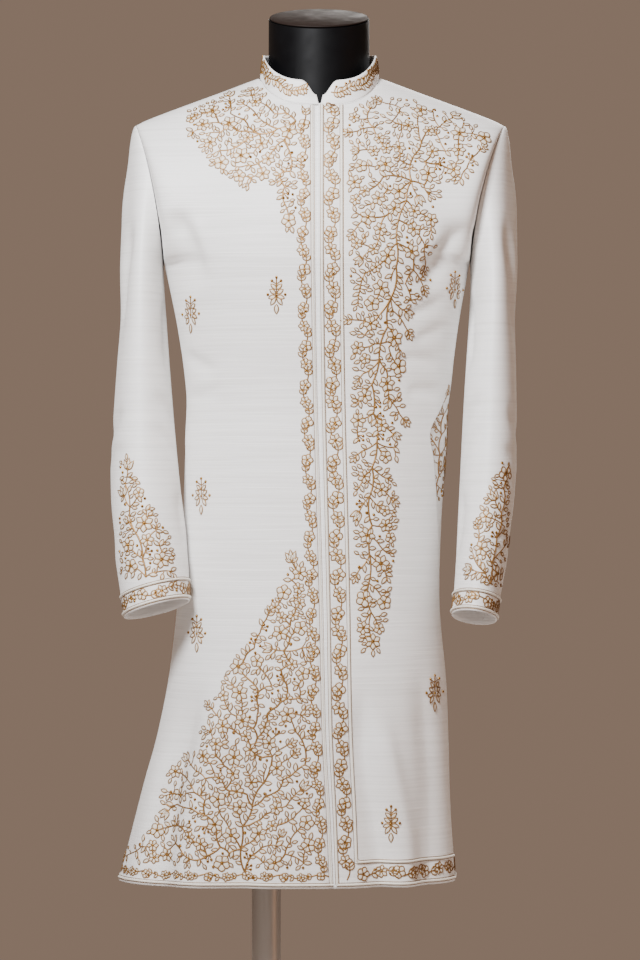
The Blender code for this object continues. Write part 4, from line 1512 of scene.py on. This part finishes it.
def sewFrontRight():
    work = Needlework("frontRightNeedlework")
    place = surfacePlacer("frontRight", lambda out: out[1] < -0.10)
    gardenFill(work, place, frontRightWork["yoke"])
    gardenFill(work, place, frontRightWork["skirt"])
    tip, edge, vinePlan = frontRightWork["tip"], frontRightWork["edge"], frontRightWork["vine"]
    work.stem(place, tip["stem"], stitch["stem"])
    for turn in tip["leafTurns"]:
        work.leaf(place, tip["stem"][-1], turn, *tip["leaf"])
    work.tulip(place, *tip["tulip"])

    def alongEdge(off, low):
        # the left front laps a little further at the neck than at the hem
        widening = (edge["neck"] - edge["hem"]) / (edge["neckHeight"] - cut["hem"])
        return upLine("frontRight", lambda z: edge["hem"] + widening * (z - cut["hem"]) + off, low, -1)

    borderVine(work, alongEdge(vinePlan["off"], vinePlan["low"]), vinePlan["halfWidth"], vinePlan["seed"])
    for off in edge["lines"]:
        work.thread(*alongEdge(off, piping["edgeLow"]), stitch["line"], 1)
    work.thread(*alongEdge(edge["cord"], piping["edgeLow"]), edge["cordRadius"], 0)
    sewHem(work, "frontRight", frontRightWork["hem"])
    scatter(work, place, frontRightWork["sprigs"])
    work.finish()


def sewFrontLeft():
    work = Needlework("frontLeftNeedlework")
    place = surfacePlacer("frontLeft", lambda out: out[1] < -0.10)
    gardenFill(work, place, frontLeftWork["front"])
    vinePlan, hem = frontLeftWork["vine"], frontLeftWork["hem"]
    middle = (piping["edgeIn"] + piping["borderIn"]) / 2
    line = upLine("frontLeft", middle, vinePlan["low"])
    borderVine(work, line, vinePlan["halfWidth"], vinePlan["seed"])
    points, normals = aboveLine("frontLeft", (piping["hemUp"] + piping["hemBandUp"]) / 2)
    keep = points[:, 0] > line[0][0, 0] + hem["clear"]
    borderVine(work, (points[keep], normals[keep]), hem["halfWidth"], hem["seed"], hem["start"])
    scatter(work, place, frontLeftWork["sprigs"])
    work.finish()


def sewBack():
    work = Needlework("backNeedlework")
    place = surfacePlacer("back", lambda out: out[1] > 0.10)
    scatter(work, place, backWork["sprigs"])
    sewHem(work, "back", backWork["hem"])
    sidePlace = surfacePlacer("back", lambda out: out[1] < 0.0 and out[0] > 0.0)
    gardenFill(work, sidePlace, backWork["leftSide"])
    gardenFill(work, place, backWork["yoke"])
    work.finish()


def sewSleeve(name):
    work = Needlework(name + "Needlework")
    plan = sleeveWork[name]
    points, normals = aboveLine(name, (piping["cuffUp"] + piping["cuffBand"]) / 2, fromTop=True)
    ring = np.concatenate([points, points[:1]]), np.concatenate([normals, normals[:1]])
    borderVine(work, ring, cuffVine["halfWidth"], plan["cuffSeed"], repeats=cuffVine["repeats"])
    gardenFill(work, surfacePlacer(name, lambda out: out[1] < 0.05), plan)
    scatter(work, surfacePlacer(name, lambda out: out[1] > -0.05), plan["sprigs"])
    work.finish()


def sewCollar():
    work = Needlework("collarNeedlework")
    strip, length = linePlacer(*aboveLine("collar", collarWork["up"], collarWork["ends"]))
    dice = random.Random(collarWork["seed"])

    def path(s):
        return collarWork["wave"] * sin(s * collarWork["waves"])

    stem = spread(collarWork["stemEnds"], length - collarWork["stemEnds"], 150)
    work.stem(strip, [(path(s), s) for s in stem], stitch["stem"])
    s, hand = collarWork["endRoom"], 1
    wide, narrow = collarWork["leafWidth"]
    while s < length - collarWork["endRoom"]:
        a = path(s)
        size = dice.uniform(*collarWork["leaf"])
        work.leaf(strip, (a, s), hand * dice.uniform(*collarWork["leafTurn"]), size, size * wide)
        if dice.random() < 0.5:
            turn = -hand * dice.uniform(*collarWork["otherTurn"])
            work.leaf(strip, (a, s + 0.001), turn, size * collarWork["smaller"], size * narrow)
        elif dice.random() < 0.5:
            bends = ((0.0, 0.0), collarWork["berryStem"], collarWork["berry"])
            line = [(a - hand * off, s + up) for off, up in bends]
            work.stem(strip, line, stitch["stem"] * stitch["stalk"])
            work.bead(strip, line[-1], stitch["bead"] * 0.85)
        s += collarWork["step"]
        hand = -hand
    work.finish()


sewFrontRight()
sewFrontLeft()
print("fronts sewn")
sewBack()
sewSleeve("sleeveRight")
sewSleeve("sleeveLeft")
sewCollar()
print("needlework done")

# The flat cuts before sewing: width and length, the cut's area, what they rest on and what is sewn to them.
# They hold the seam allowances, the facing and the hem
flatCuts = {
    "frontRight": {"flat": (0.375, 1.080), "area": 0.301, "rests": ["form_torso"],
                   "sewnOn": ("frontRightNeedlework", "hemPipingRight")},
    "frontLeft": {"flat": (0.330, 1.080), "area": 0.226, "rests": ["form_torso", "front_right"],
                  "sewnOn": ("frontLeftNeedlework", "edgePiping", "borderPiping", "hemPipingLeft")},
    "back": {"flat": (0.715, 1.100), "area": 0.585, "rests": ["form_torso"],
             "sewnOn": ("backNeedlework", "hemPipingBack")},
    "sleeveRight": {"flat": (0.490, 0.660), "area": 0.200, "rests": ["front_right", "back"],
                    "sewnOn": ("sleeveRightNeedlework", "sleeveRightEdgePiping", "sleeveRightTopPiping")},
    "sleeveLeft": {"flat": (0.490, 0.660), "area": 0.200, "rests": ["front_left", "back"],
                   "sewnOn": ("sleeveLeftNeedlework", "sleeveLeftEdgePiping", "sleeveLeftTopPiping")},
    "collar": {"flat": (0.520, 0.050), "area": 0.0175, "rests": ["front_right", "front_left", "back"],
               "sewnOn": ("collarNeedlework",)},
}
for name, facts in flatCuts.items():
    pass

# Floor, light and camera
studio = {
    "floorColour": (0.66, 0.60, 0.56, 1.0),
    "floorRoughness": 0.9,
    "floorRadius": 2.8,
    "airColour": (1.0, 0.70, 0.52, 1.0),
    "airStrength": 0.24,
    "cameraDistance": 4.5,
    "cameraHeight": 1.0046,
    "cameraAcross": 0.0074,
    "lens": 136.45,
    "sensor": 36.0,
}
# Lamps: name, place, what it points at, width and height, watts, colour
lamps = (
    ("frontKey", (-0.62, -1.75, 2.36), (0.0, 0.0, 1.20), (0.6, 0.6), 112, (0.96, 0.975, 1.0)),
    ("warmSide", (3.0, -1.2, 1.2), (0.2, 0.0, 1.0), (1.6, 2.4), 9, (1.0, 0.52, 0.28)),
    ("backSoft", (0.8, 3.2, 2.8), (0.0, 0.0, 1.0), (1.6, 1.6), 70, (1.0, 0.96, 0.92)),
)


def addToScene(name, data):
    thing = bpy.data.objects.new(name, data)
    bpy.context.scene.collection.objects.link(thing)
    return thing


def buildFloor():
    rim = [2 * pi * k / 96 for k in range(96)]
    points = [(studio["floorRadius"] * cos(t), studio["floorRadius"] * sin(t), 0.0) for t in rim]
    mesh = bpy.data.meshes.new("studioFloor")
    mesh.from_pydata(points, [], [tuple(range(96))])
    paint = {"Base Color": studio["floorColour"], "Roughness": studio["floorRoughness"]}
    mesh.materials.append(newLook("studioPaint", paint)[0])
    addToScene("studioFloor", mesh)


def areaLight(name, place, target, size, power, colour):
    data = bpy.data.lights.new(name, "AREA")
    data.shape = "RECTANGLE"
    data.size, data.size_y = size
    data.energy = power
    data.color = colour
    lamp = addToScene(name, data)
    lamp.location = place
    lamp.rotation_euler = (Vector(target) - Vector(place)).to_track_quat("-Z", "Y").to_euler()


def buildLight():
    for lamp in lamps:
        areaLight(*lamp)
    world = bpy.data.worlds.new("studioAir")
    world.use_nodes = True
    air = {"Color": studio["airColour"], "Strength": studio["airStrength"]}
    setInputs(world.node_tree.nodes["Background"], air)
    bpy.context.scene.world = world


def buildCamera():
    data = bpy.data.cameras.new("portraitCamera")
    data.lens = studio["lens"]
    data.sensor_width = studio["sensor"]
    camera = addToScene("portraitCamera", data)
    camera.location = (studio["cameraAcross"], -studio["cameraDistance"], studio["cameraHeight"])
    camera.rotation_euler = (pi / 2, 0.0, 0.0)
    bpy.context.scene.camera = camera


buildFloor()
buildLight()
buildCamera()
print("studio set")
